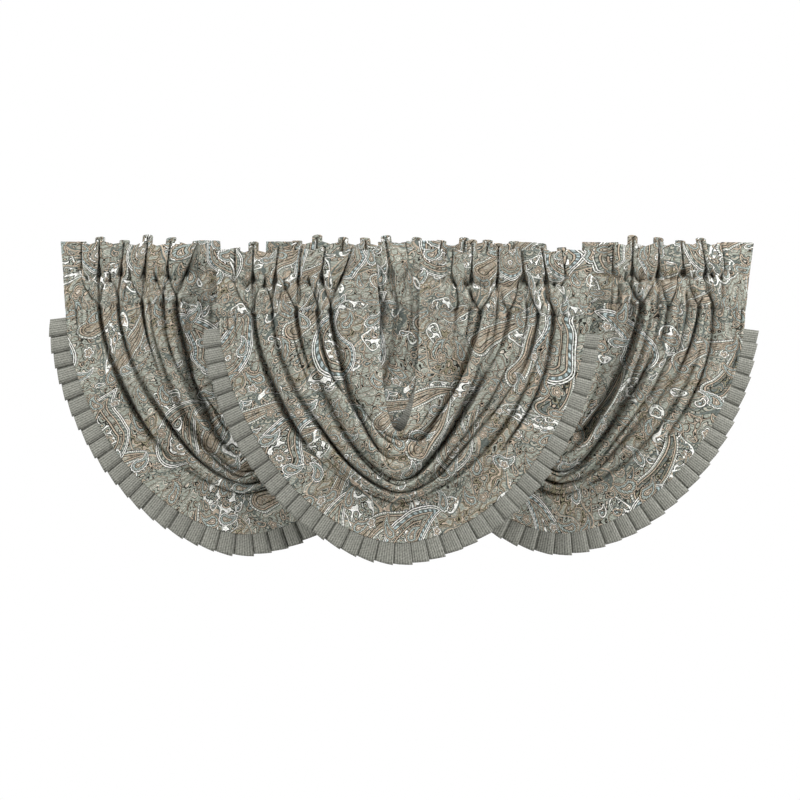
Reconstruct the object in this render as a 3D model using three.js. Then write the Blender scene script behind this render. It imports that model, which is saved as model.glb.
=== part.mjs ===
// A set of three waterfall valances on one rod line, the middle one lapped in front of the other two.
// Sizes are millimetres. X runs along the rod to the right, Y runs away from the viewer and Z is up.
// The origin is on the top edge of the headings, half way along the set.
// Inside one valance, X is 0 at its middle, Y is 0 in its rod and Z is 0 at the top of its frill.

import * as THREE from 'three';

// The cloths
const FACE_CLOTH = 2; // face cloth of the swags and headings
const TRIM_CLOTH = 1.8; // plain cloth of the pleated ruffles
const SEAM_GAP = 0.4; // between two pieces that are sewn together

// How the three hang: each one's middle along the rod, its rod's distance back and its height
const LAYER_PITCH = 54;
const VALANCES = [
  { name: 'left', along: -387.5, back: 0, height: 0 },
  { name: 'front', along: 0, back: -LAYER_PITCH, height: -20 },
  { name: 'right', along: 407.5, back: LAYER_PITCH, height: 0 },
];

// A heading from its top edge down to the seam of the swag.
// front is the Y of the cloth's face on a full pleat and crease is its Y in a full crease.
const HEADING_ROWS = [
  { name: 'top edge', z: 0, front: -21, crease: 9 },
  { name: 'frill', z: -38, front: -23, crease: 8 },
  { name: 'upper stitch', z: -77, front: -10, crease: 4 },
  { name: 'pocket top', z: -85, front: -22, crease: -11 },
  { name: 'pocket foot', z: -140, front: -24, crease: -11 },
  { name: 'seam', z: -150, front: -16, crease: 4 },
];
const [TOP_EDGE, , UPPER_STITCH, POCKET_TOP, POCKET_FOOT, SEAM] = HEADING_ROWS.keys();
const DOUBLE_CLOTH = 3; // front to back where the two walls of the band are stitched together
const BACK_WALL = 11; // Y of the pocket's back wall, outside
const BACK_SWELL = 4; // how far the back wall swells behind a pleat
const PLEAT_DROOP = 8; // how far the top edge droops on a full pleat
const SHOULDER = 8; // half the width of a crease
const SHOULDER_TUCK = 0.3; // how far back a crease's shoulder lies, as a share of the crease
const TAB_TUCK = 0.45; // the flat tabs at a heading's two ends
const SEAM_SLANT = 22; // how much lower the pocket's foot and the seam are at a heading's outer end

// The creases of each heading: where each is at the top edge and at the seam, how deep it is,
// from 0 to 1, and how far the top edge rises in it.
const LEFT_HEADING = {
  start: { top: -474, seam: -461, outer: 1 },
  end: { top: -74, seam: -62, outer: 0 },
  creases: [
    { top: -421, seam: -421, depth: 0.4, rise: 0 },
    { top: -376, seam: -378, depth: 1, rise: 10 },
    { top: -314, seam: -331, depth: 0.9, rise: 4 },
    { top: -256, seam: -271, depth: 1, rise: 12 },
    { top: -197, seam: -219, depth: 1, rise: 8 },
    { top: -131, seam: -184, depth: 0.95, rise: 4 },
  ],
};
const RIGHT_HEADING = {
  start: { top: 41, seam: 37, outer: 0 },
  end: { top: 474, seam: 452, outer: 1 },
  creases: [
    { top: 119, seam: 112, depth: 0.35, rise: 2 },
    { top: 169, seam: 164, depth: 1, rise: 18 },
    { top: 234, seam: 231, depth: 1, rise: 10 },
    { top: 289, seam: 306, depth: 0.9, rise: 6 },
    { top: 341, seam: 369, depth: 1, rise: 12 },
    { top: 392, seam: 412, depth: 0.3, rise: 0 },
  ],
};

// The swag's fold lines from the neck out to the hem. Each one leaves the left seam at leftX, dips to
// Z lowZ under the neck and ends at the right seam at rightX. leftY, lowY and rightY are its Y half
// way down the left side, at its lowest point and half way down the right side. leftBow and rightBow
// are 2 for a quarter of an ellipse, less for a straighter side and more for a squarer one.
const LOW_X = -14;
const FOLD_COLUMNS = ['name', 'leftX', 'leftBow', 'leftY', 'lowZ', 'lowY', 'rightX', 'rightBow', 'rightY'];
const FOLD_ROWS = [
  ['neck edge', -62, 3, -10, -454, -4, 37, 3, -8],
  ['neck panel', -121, 2.2, -22, -466, -14, 100, 2.1, -26],
  ['neck crease', -184, 1.7, -4, -474, -10, 164, 1.8, -6],
  ['first roll', -201, 1.65, -38, -530, -46, 198, 1.6, -40],
  ['second crease', -219, 1.65, -10, -562, -16, 231, 1.55, -8],
  ['second roll', -246, 1.7, -34, -588, -45, 269, 1.6, -38],
  ['third crease', -271, 1.7, -8, -586, -14, 306, 1.65, -10],
  ['third roll', -300, 1.62, -32, -612, -44, 334, 1.7, -34],
  ['side crease', -331, 1.55, -12, -618, -44, 346, 1.72, -28],
  ['side roll', -356, 1.5, -36, -625, -42, 356, 1.74, -30],
  ['hem crease', -378, 1.45, -2, -620, -20, 369, 1.77, -8],
  ['apron fold', -404, 1.6, -26, -656, -32, 392, 1.78, -26],
  ['apron', -434, 1.7, -28, -693, -34, 422, 1.8, -28],
  ['hem', -461, 1.75, -22, -731, -28, 452, 1.8, -22],
];
const FOLD_LINES = FOLD_ROWS.map((row) => (
  Object.fromEntries(FOLD_COLUMNS.map((column, k) => [column, row[k]]))
));
const STEPS_PER_FOLD = 2; // across the swag, between one fold line and the next
const STEPS_ALONG = 24; // along the swag, from seam to seam

// The ruffle: knife pleats along the hem, each one's right edge lying over the next pleat
const PLEATS = 39;
const RUFFLE_WIDTH = { start: 43, low: 53, end: 35 };
const RUFFLE_START = -188; // Z of its upper end on the left
const RUFFLE_END = -206; // Z of its upper end on the right
const RUFFLE_GAP = 1.2; // from the hem of the swag
const PLEAT_RETURN = 5; // along the hem, from a pleat's front edge back to the next pleat
const PLEAT_LIFT = { inner: 3, outer: 7 }; // how far a pleat's front edge stands out
const PLEAT_STEP = 4; // how much further out a pleat's front edge reaches

const { lerp, smoothstep } = THREE.MathUtils;

// A closed solid from rings of points. Each ring is one outline; the last point joins the first.
function addTube(faces, rings, inward) {
  for (let i = 0; i + 1 < rings.length; i += 1) {
    for (let k = 0; k < rings[i].length; k += 1) {
      const next = (k + 1) % rings[i].length;
      const quad = [rings[i][k], rings[i][next], rings[i + 1][next], rings[i + 1][k]];
      if (inward) {
        quad.reverse();
      }
      faces.push([quad[0], quad[1], quad[2]], [quad[0], quad[2], quad[3]]);
    }
  }
}

// The geometry of a list of triangles, each three points.
function geometryOf(faces) {
  const geometry = new THREE.BufferGeometry();
  geometry.setFromPoints(faces.flat());
  return geometry;
}

// A sheet of even thickness on both sides of a grid of points.
// thicken(i, j) is the way from the back of the sheet to its front at that point, of unit length.
function sheetGeometry(grid, thickness, thicken) {
  const shifted = (share) => grid.map((row, i) => row.map((point, j) => (
    point.clone().addScaledVector(thicken(i, j), share * thickness)
  )));
  const front = shifted(0.5);
  const back = shifted(-0.5);
  const rings = grid.map((row, i) => [...front[i], ...back[i].slice().reverse()]);
  const faces = [];
  addTube(faces, rings, false);
  const last = grid.length - 1;
  for (let j = 0; j + 1 < grid[0].length; j += 1) {
    faces.push([front[0][j], back[0][j], back[0][j + 1]], [front[0][j], back[0][j + 1], front[0][j + 1]]);
    faces.push([front[last][j], back[last][j + 1], back[last][j]]);
    faces.push([front[last][j], front[last][j + 1], back[last][j + 1]]);
  }
  return geometryOf(faces);
}

// The unit normals of a grid of points, facing the viewer. Those of the first and last row are
// level, so that the sheet's edge stays in the plane of its seam.
function gridNormals(grid) {
  const last = grid.length - 1;
  return grid.map((row, i) => row.map((point, j) => {
    const along = grid[Math.min(i + 1, last)][j].clone().sub(grid[Math.max(i - 1, 0)][j]);
    const across = row[Math.min(j + 1, row.length - 1)].clone().sub(row[Math.max(j - 1, 0)]);
    const normal = across.cross(along);
    if (i === 0 || i === last) {
      normal.z = 0;
    }
    return normal.normalize();
  }));
}

// The columns of a heading: X at the top edge and at the seam, how far back the cloth is tucked
// there, from 0 on a pleat to 1 in a crease, and the rise of the top edge.
function headingColumns(heading) {
  const { start, end } = heading;
  const bounds = [
    { ...start, depth: TAB_TUCK, rise: 0 },
    ...heading.creases,
    { ...end, depth: TAB_TUCK, rise: 0 },
  ];
  const columns = [];
  bounds.forEach((bound, k) => {
    const inside = k > 0 && k < bounds.length - 1;
    const shoulder = (shift) => ({
      top: bound.top + shift,
      seam: bound.seam + shift,
      tuck: bound.depth * SHOULDER_TUCK,
      rise: bound.rise * SHOULDER_TUCK - PLEAT_DROOP * (1 - SHOULDER_TUCK),
    });
    if (inside) {
      columns.push(shoulder(-SHOULDER));
    }
    columns.push({ top: bound.top, seam: bound.seam, tuck: bound.depth, rise: bound.rise });
    if (inside) {
      columns.push(shoulder(SHOULDER));
    }
    const next = bounds[k + 1];
    if (next) {
      columns.push({
        top: (bound.top + next.top) / 2,
        seam: (bound.seam + next.seam) / 2,
        tuck: k === 0 || k === bounds.length - 2 ? TAB_TUCK / 2 : 0,
        rise: -PLEAT_DROOP,
      });
    }
  });
  return columns.map((column) => {
    const outer = lerp(start.outer, end.outer, (column.seam - start.seam) / (end.seam - start.seam));
    return { ...column, drop: SEAM_SLANT * outer ** 2 };
  });
}

// Where a heading's face meets the swag at an X along the seam: its Y and Z.
function seamFace(heading, x) {
  const { front, crease, z } = HEADING_ROWS[SEAM];
  const columns = headingColumns(heading);
  const after = Math.max(1, columns.findIndex((column) => column.seam >= x - 1e-6));
  const [a, b] = [columns[after - 1], columns[after]];
  const share = (x - a.seam) / (b.seam - a.seam);
  return {
    y: lerp(front, crease, lerp(a.tuck, b.tuck, share)),
    z: z - lerp(a.drop, b.drop, share),
  };
}

// A gathered heading: a standing frill of doubled cloth over a rod pocket that is open at both ends.
function headingGeometry(heading) {
  const seamZ = HEADING_ROWS[SEAM].z;
  const outer = [];
  const inner = [];
  for (const column of headingColumns(heading)) {
    const point = (index, y, shiftZ = 0) => {
      const row = HEADING_ROWS[index];
      const x = lerp(column.top, column.seam, row.z / seamZ);
      const rise = index === TOP_EDGE ? column.rise : 0;
      const drop = index >= POCKET_FOOT ? column.drop : 0;
      return new THREE.Vector3(x, y, row.z + rise - drop + shiftZ);
    };
    const face = HEADING_ROWS.map((row) => lerp(row.front, row.crease, column.tuck));
    const back = face.map((y) => y + DOUBLE_CLOTH);
    const swell = BACK_WALL + BACK_SWELL * (1 - column.tuck);
    back[POCKET_TOP] = swell;
    back[POCKET_FOOT] = swell;
    const rows = HEADING_ROWS.map((row, index) => index);
    outer.push([
      ...rows.map((index) => point(index, face[index])),
      ...rows.slice().reverse().map((index) => point(index, back[index])),
    ]);
    const between = (a, b) => (face[a] + back[a] + face[b] + back[b]) / 4;
    inner.push([
      point(UPPER_STITCH, between(UPPER_STITCH, POCKET_TOP), -FACE_CLOTH * 2),
      point(POCKET_TOP, face[POCKET_TOP] + FACE_CLOTH),
      point(POCKET_FOOT, face[POCKET_FOOT] + FACE_CLOTH),
      point(SEAM, between(POCKET_FOOT, SEAM), FACE_CLOTH * 2),
      point(POCKET_FOOT, back[POCKET_FOOT] - FACE_CLOTH),
      point(POCKET_TOP, back[POCKET_TOP] - FACE_CLOTH),
    ]);
  }
  const faces = [];
  addTube(faces, outer, false);
  addTube(faces, inner, true);
  addCap(faces, outer[0], inner[0], false);
  addCap(faces, outer[outer.length - 1], inner[inner.length - 1], true);
  return geometryOf(faces);
}

// The flat end of a heading, round the mouth of its pocket.
function addCap(faces, outline, mouth, turned) {
  const flat = (points) => points.map((point) => new THREE.Vector2(point.y, point.z));
  const points = [...outline, ...mouth];
  for (const [a, b, c] of THREE.ShapeUtils.triangulateShape(flat(outline), [flat(mouth)])) {
    const [p, q, r] = [points[a], points[b], points[c]];
    const area = (q.y - p.y) * (r.z - p.z) - (q.z - p.z) * (r.y - p.y);
    faces.push(area > 0 === turned ? [p, q, r] : [p, r, q]);
  }
}

// A smooth curve through three columns of the fold lines.
function columnCurve(...columns) {
  const points = FOLD_LINES.map((line) => new THREE.Vector3(...columns.map((column) => line[column])));
  return new THREE.CatmullRomCurve3(points, false, 'catmullrom', 0.5);
}
const leftCurve = columnCurve('leftX', 'leftBow', 'leftY');
const rightCurve = columnCurve('rightX', 'rightBow', 'rightY');
const lowCurve = columnCurve('lowZ', 'lowY', 'lowY');

// A point of the swag. across runs from 0 at the neck edge to 1 at the hem, and along runs from 0 at
// the left seam to 1 at the right seam.
function swagPoint(across, along) {
  const onLeft = along < 0.5;
  const side = (onLeft ? leftCurve : rightCurve).getPoint(across);
  const low = lowCurve.getPoint(across);
  const fall = 2 * Math.min(along, 1 - along);
  const angle = fall * Math.PI / 2;
  const power = 2 / side.y;
  const sewn = seamFace(onLeft ? LEFT_HEADING : RIGHT_HEADING, side.x);
  const hung = lerp(side.z, low.y, smoothstep(fall, 0.45, 1));
  return new THREE.Vector3(
    lerp(LOW_X, side.x, Math.max(0, Math.cos(angle)) ** power),
    lerp(sewn.y + DOUBLE_CLOTH / 2, hung, smoothstep(fall, 0, 0.45)),
    lerp(sewn.z - SEAM_GAP, low.x, Math.sin(angle) ** power),
  );
}

// The draped panel of one valance.
function swagGeometry() {
  const stepsAcross = (FOLD_LINES.length - 1) * STEPS_PER_FOLD;
  const grid = [];
  for (let i = 0; i <= STEPS_ALONG; i += 1) {
    const row = [];
    for (let j = 0; j <= stepsAcross; j += 1) {
      row.push(swagPoint(j / stepsAcross, i / STEPS_ALONG));
    }
    grid.push(row);
  }
  const normals = gridNormals(grid);
  return sheetGeometry(grid, FACE_CLOTH, (i, j) => normals[i][j]);
}

// The pleated trim along the hem of one valance.
function ruffleGeometry() {
  const samples = [];
  for (let i = 0; i <= 240; i += 1) {
    samples.push(swagPoint(1, i / 240));
  }
  const firstBelow = samples.findIndex((point) => point.z < RUFFLE_START);
  const lastBelow = samples.findLastIndex((point) => point.z < RUFFLE_END);
  const hem = new THREE.CatmullRomCurve3(samples.slice(firstBelow, lastBelow + 1));
  hem.arcLengthDivisions = 800;
  const pitch = hem.getLength() / PLEATS;
  const grid = [];
  const addColumn = (distance, raised) => {
    const share = Math.min(1, distance / hem.getLength());
    const at = hem.getPointAt(share);
    const along = hem.getTangentAt(share);
    const out = new THREE.Vector3(along.z, 0, -along.x).normalize();
    const narrow = share < 0.5 ? RUFFLE_WIDTH.start : RUFFLE_WIDTH.end;
    const width = lerp(narrow, RUFFLE_WIDTH.low, Math.sin(Math.PI * share));
    const reach = width + (raised ? PLEAT_STEP / 2 : -PLEAT_STEP / 2);
    const lift = (amount) => (raised ? -amount / 2 : amount / 2);
    const inner = at.clone().addScaledVector(out, RUFFLE_GAP);
    const outer = at.clone().addScaledVector(out, RUFFLE_GAP + reach);
    inner.y += lift(PLEAT_LIFT.inner);
    outer.y += lift(PLEAT_LIFT.outer);
    grid.push([inner, outer]);
  };
  for (let k = 0; k < PLEATS; k += 1) {
    addColumn(k * pitch, false);
    addColumn((k + 1) * pitch - PLEAT_RETURN, true);
  }
  const forward = new THREE.Vector3(0, -1, 0);
  return sheetGeometry(grid, TRIM_CLOTH, () => forward);
}

const cloth = new THREE.MeshStandardMaterial({ color: 0x8f8b80 });
const trim = new THREE.MeshStandardMaterial({ color: 0x84857b });

const set = new THREE.Group();
for (const valance of VALANCES) {
  const add = (piece, geometry, material) => {
    const mesh = new THREE.Mesh(geometry, material);
    mesh.name = `${valance.name}_${piece}`;
    mesh.position.set(valance.along, valance.back, valance.height);
    set.add(mesh);
  };
  add('heading_left', headingGeometry(LEFT_HEADING), cloth);
  add('heading_right', headingGeometry(RIGHT_HEADING), cloth);
  add('swag', swagGeometry(), cloth);
  add('ruffle', ruffleGeometry(), trim);
}

export default set;
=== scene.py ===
"""A set of three waterfall valances in paisley jacquard with knife-pleated trim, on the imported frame.

The tables are millimetres inside one valance: X along the rod from its middle, Y away from the viewer
from its rod and Z up from the top of its frill. SEAM_Z is the seam below the rod pocket and STITCH_Z
the stitches between the frill and the pocket. Meshes and materials are in metres.
"""

import logging
import math
from dataclasses import dataclass
from enum import Enum

import bpy
import numpy as np
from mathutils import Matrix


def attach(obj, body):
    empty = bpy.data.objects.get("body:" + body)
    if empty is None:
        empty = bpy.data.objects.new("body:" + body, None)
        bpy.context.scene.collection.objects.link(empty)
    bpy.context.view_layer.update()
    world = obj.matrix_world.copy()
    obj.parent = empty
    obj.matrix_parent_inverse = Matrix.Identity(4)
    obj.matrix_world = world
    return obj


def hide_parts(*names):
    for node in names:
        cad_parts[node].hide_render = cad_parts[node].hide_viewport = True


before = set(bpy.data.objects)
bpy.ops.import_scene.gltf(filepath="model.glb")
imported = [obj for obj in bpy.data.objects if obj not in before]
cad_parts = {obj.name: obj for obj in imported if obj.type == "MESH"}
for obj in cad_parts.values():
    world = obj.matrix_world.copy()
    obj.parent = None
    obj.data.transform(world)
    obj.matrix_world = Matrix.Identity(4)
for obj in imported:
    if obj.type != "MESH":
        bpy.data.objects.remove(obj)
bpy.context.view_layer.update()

MM = 0.001
LOG = logging.getLogger("valances")


class Side(Enum):
    """The two headings of a valance, as the viewer sees them."""

    LEFT = "left"
    RIGHT = "right"


class Hold(Enum):
    """How a sheet of cloth is held up."""

    GATHERED = "gathered"
    HUNG = "hung"


class Fill(Enum):
    """What fills a field of the face cloth."""

    PALE = "pale"
    PEACH = "peach"
    DARK = "dark"
    WHITE = "white"


def ease(value: np.ndarray, low: float, high: float) -> np.ndarray:
    """Ease from 0 at low to 1 at high.

    Args:
        value: The values to ease.
        low: Where the ease starts.
        high: Where the ease ends.

    Returns:
        The eased shares.
    """
    share = np.clip((value - low) / (high - low), 0, 1)
    return share * share * (3 - 2 * share)


def blend(a: np.ndarray, b: np.ndarray, share: np.ndarray) -> np.ndarray:
    """Go from a to b by a share from 0 to 1."""
    return a + (b - a) * share


def settle(value: np.ndarray, start: float, room: float) -> np.ndarray:
    """Let values that pass a start go on by less than a room."""
    return np.where(value > start, start + room * np.tanh((value - start) / room), value)


def curve(knots: list[float], at: np.ndarray) -> np.ndarray:
    """Follow a smooth curve through evenly spaced knots.

    Args:
        knots: The values at 0, 1, 2 and so on.
        at: Where to read the curve.

    Returns:
        The curve's values there.
    """
    row = np.asarray(knots, dtype=float)
    row = np.concatenate(([2 * row[0] - row[1]], row, [2 * row[-1] - row[-2]]))
    first = np.clip(np.floor(at).astype(int), 0, len(knots) - 2)
    t = at - first
    p0, p1, p2, p3 = (row[first + k] for k in range(4))
    return p1 + t * (
        (p2 - p0) / 2 + t * (p0 - 2.5 * p1 + 2 * p2 - p3 / 2 + t * (1.5 * (p1 - p2) + (p3 - p0) / 2))
    )


def steps(grid: np.ndarray, axis: int) -> np.ndarray:
    """Measure how far each point of a grid is along an axis of it.

    Args:
        grid: Points, rows by columns by 3.
        axis: 0 to measure down the columns, 1 to measure along the rows.

    Returns:
        Running lengths, rows by columns.
    """
    length = np.linalg.norm(np.diff(grid, axis=axis), axis=2)
    return np.concatenate((np.zeros_like(np.take(length, [0], axis)), np.cumsum(length, axis)), axis)


@dataclass(frozen=True)
class Ripple:
    """Uneven waves over a surface, the same on every run.

    Attributes:
        seed: Which set of waves.
        across: Typical length of a wave in the first direction.
        down: Typical length of a wave in the second direction.
        waves: How many waves are laid over each other.
    """

    seed: int
    across: float
    down: float
    waves: int = 9

    def at(self, first: np.ndarray, second: np.ndarray) -> np.ndarray:
        """Read the waves.

        Args:
            first: Places in the first direction.
            second: Places in the second direction.

        Returns:
            Heights, mostly between -1 and 1.
        """
        dice = np.random.default_rng(self.seed)
        total = np.zeros(np.broadcast(first, second).shape)
        for _ in range(self.waves):
            pace = dice.uniform(0.55, 1.5) / self.across
            slant = dice.uniform(-1.0, 1.0) / self.down
            total = total + np.sin(2 * np.pi * (first * pace + second * slant + dice.uniform()))
        return total / math.sqrt(self.waves)


@dataclass(frozen=True)
class Hang:
    """Where one valance hangs in the set, in millimetres.

    Attributes:
        name: The start of its nodes' names.
        along: Its middle along the rod.
        back: Its rod's distance from the middle rod.
        height: The top of its frill.
        seed: Which set of small wrinkles its cloth has.
    """

    name: str
    along: float
    back: float
    height: float
    seed: int


@dataclass(frozen=True)
class Crease:
    """One crease of a gathered heading.

    Attributes:
        top: Its X at the top edge.
        seam: Its X at the seam.
        depth: How deep it goes, from 0 to 1.
        rise: How far the top edge stands up in it.
    """

    top: float
    seam: float
    depth: float
    rise: float


@dataclass(frozen=True)
class Drawn:
    """A drawn-up crease in the rod pocket.

    Attributes:
        top: Its X at the upper row of stitches.
        foot: Its X at the seam.
        depth: How far back it is drawn, millimetres.
        width: Half its width.
        ends: How much of that depth it has at the stitches and at the seam.
        bow: How far aside it bows half way down.
    """

    top: float
    foot: float
    depth: float
    width: float
    ends: tuple[float, float] = (1, 1)
    bow: float = 0


@dataclass(frozen=True)
class Gathers:
    """The cut of one heading: its two ends and the creases between them.

    Attributes:
        start: The X of its left end at the top edge and at the seam.
        end: The X of its right end at the top edge and at the seam.
        outer: The share of the seam's slant at its left and its right end.
        creases: Its creases from left to right.
        drawn: The extra creases of its pocket.
    """

    start: tuple[float, float]
    end: tuple[float, float]
    outer: tuple[float, float]
    creases: tuple[Crease, ...]
    drawn: tuple[Drawn, ...]


@dataclass(frozen=True)
class Chance:
    """What differs from pleat to pleat of one heading.

    Attributes:
        lean: How far aside a pleat of the frill leans.
        swell: How much further forward it stands.
        tilt: How much more of that its right edge has than its left one.
        bag: How much of the pouch it has.
        nip: How far back the stitches draw it.
    """

    lean: np.ndarray
    swell: np.ndarray
    tilt: np.ndarray
    bag: np.ndarray
    nip: np.ndarray

    @classmethod
    def draw(cls, seed: int, count: int) -> "Chance":
        """Draw the numbers of a count of pleats, the same on every run."""
        dice = np.random.default_rng(seed)
        spans = ((-8, 8), (-3, 5), (-8, 8), (0.3, 1.5), (5, 15))
        return cls(*(dice.uniform(low, high, count) for low, high in spans))


GATHERS = {
    Side.LEFT: Gathers(
        start=(-474, -461),
        end=(-74, -62),
        outer=(1, 0),
        creases=(
            Crease(-421, -421, 0.4, 0),
            Crease(-376, -378, 1, 11),
            Crease(-314, -331, 0.9, 4),
            Crease(-256, -271, 1, 12),
            Crease(-197, -219, 1, 8),
            Crease(-131, -184, 0.95, 4),
        ),
        drawn=(
            Drawn(-428, -376, 13, 5, (0.5, 1), -5),
            Drawn(-346, -371, 14, 5, (1, 0.7), -8),
            Drawn(-349, -327, 14, 5, (1, 1)),
            Drawn(-300, -318, 10, 4, (1, 0.4)),
            Drawn(-300, -268, 14, 5, (1, 0.9), -4),
            Drawn(-262, -268, 11, 5, (1, 0.5), 9),
            Drawn(-240, -214, 14, 5, (0.7, 1)),
            Drawn(-238, -196, 9, 4, (1, 0.1), 4),
            Drawn(-206, -184, 16, 6, (0.9, 1)),
            Drawn(-156, -184, 11, 5, (0.8, 1), -9),
            Drawn(-131, -127, 8, 5, (1, 0.3), 6),
        ),
    ),
    Side.RIGHT: Gathers(
        start=(41, 37),
        end=(474, 452),
        outer=(0, 1),
        creases=(
            Crease(119, 112, 0.35, 2),
            Crease(169, 164, 1, 15),
            Crease(234, 231, 1, 10),
            Crease(289, 306, 0.9, 6),
            Crease(341, 369, 1, 12),
            Crease(392, 412, 0.3, 0),
        ),
        drawn=(
            Drawn(124, 130, 10, 5, (0.7, 1), 4),
            Drawn(146, 187, 15, 6, (0.8, 1), -4),
            Drawn(190, 172, 8, 4, (1, 0.2)),
            Drawn(230, 192, 15, 6, (0.9, 1), 5),
            Drawn(236, 256, 12, 5, (0.6, 1), -4),
            Drawn(286, 262, 15, 6, (1, 1), 5),
            Drawn(300, 290, 9, 4, (1, 0.3), -4),
            Drawn(306, 333, 14, 5, (0.9, 1), -5),
            Drawn(350, 335, 12, 5, (0.7, 1), 6),
            Drawn(344, 373, 15, 6, (0.8, 1), -4),
            Drawn(394, 384, 7, 5, (1, 0.5), 5),
        ),
    ),
}

SEAM_Z = -150.0
STITCH_Z = -80.0
HANGS = (
    Hang("left", -387.5, 0, 0, 11),
    Hang("front", 0, -54, -20, 23),
    Hang("right", 407.5, 54, 0, 37),
)


class Socket:
    """A value in a material. Sums and products of these add Math nodes."""

    def __init__(self, board: "Board", link: bpy.types.NodeSocket | None) -> None:
        """Wrap an output socket of a board's node, if it has one."""
        self.board = board
        self.link = link

    def __add__(self, other: "Socket | float") -> "Socket":
        """Add."""
        return self.board.math("ADD", self, other)

    __radd__ = __add__

    def __mul__(self, other: "Socket | float") -> "Socket":
        """Multiply."""
        return self.board.math("MULTIPLY", self, other)

    __rmul__ = __mul__

    def __sub__(self, other: "Socket | float") -> "Socket":
        """Subtract."""
        return self.board.math("SUBTRACT", self, other)

    def __rsub__(self, other: float) -> "Socket":
        """Subtract from a number."""
        return self.board.math("SUBTRACT", other, self)

    def __truediv__(self, other: "Socket | float") -> "Socket":
        """Divide."""
        return self.board.math("DIVIDE", self, other)

    def __rtruediv__(self, other: float) -> "Socket":
        """Divide a number."""
        return self.board.math("DIVIDE", other, self)

    def __pow__(self, other: "Socket | float") -> "Socket":
        """Raise to a power."""
        return self.board.math("POWER", self, other)

    def __gt__(self, other: "Socket | float") -> "Socket":
        """Give 1 where this is the greater, else 0."""
        return self.board.math("GREATER_THAN", self, other)

    def __lt__(self, other: "Socket | float") -> "Socket":
        """Give 1 where this is the smaller, else 0."""
        return self.board.math("LESS_THAN", self, other)

    def near(self, level: float, width: float) -> "Socket":
        """Give 1 within a width of a level, else 0."""
        return self.board.math("COMPARE", self, level, width)

    def use(self, operation: str) -> "Socket":
        """Apply a Math operation of one value, such as SINE or FLOOR."""
        return self.board.math(operation, self)


Feed = Socket | float | tuple


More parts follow.
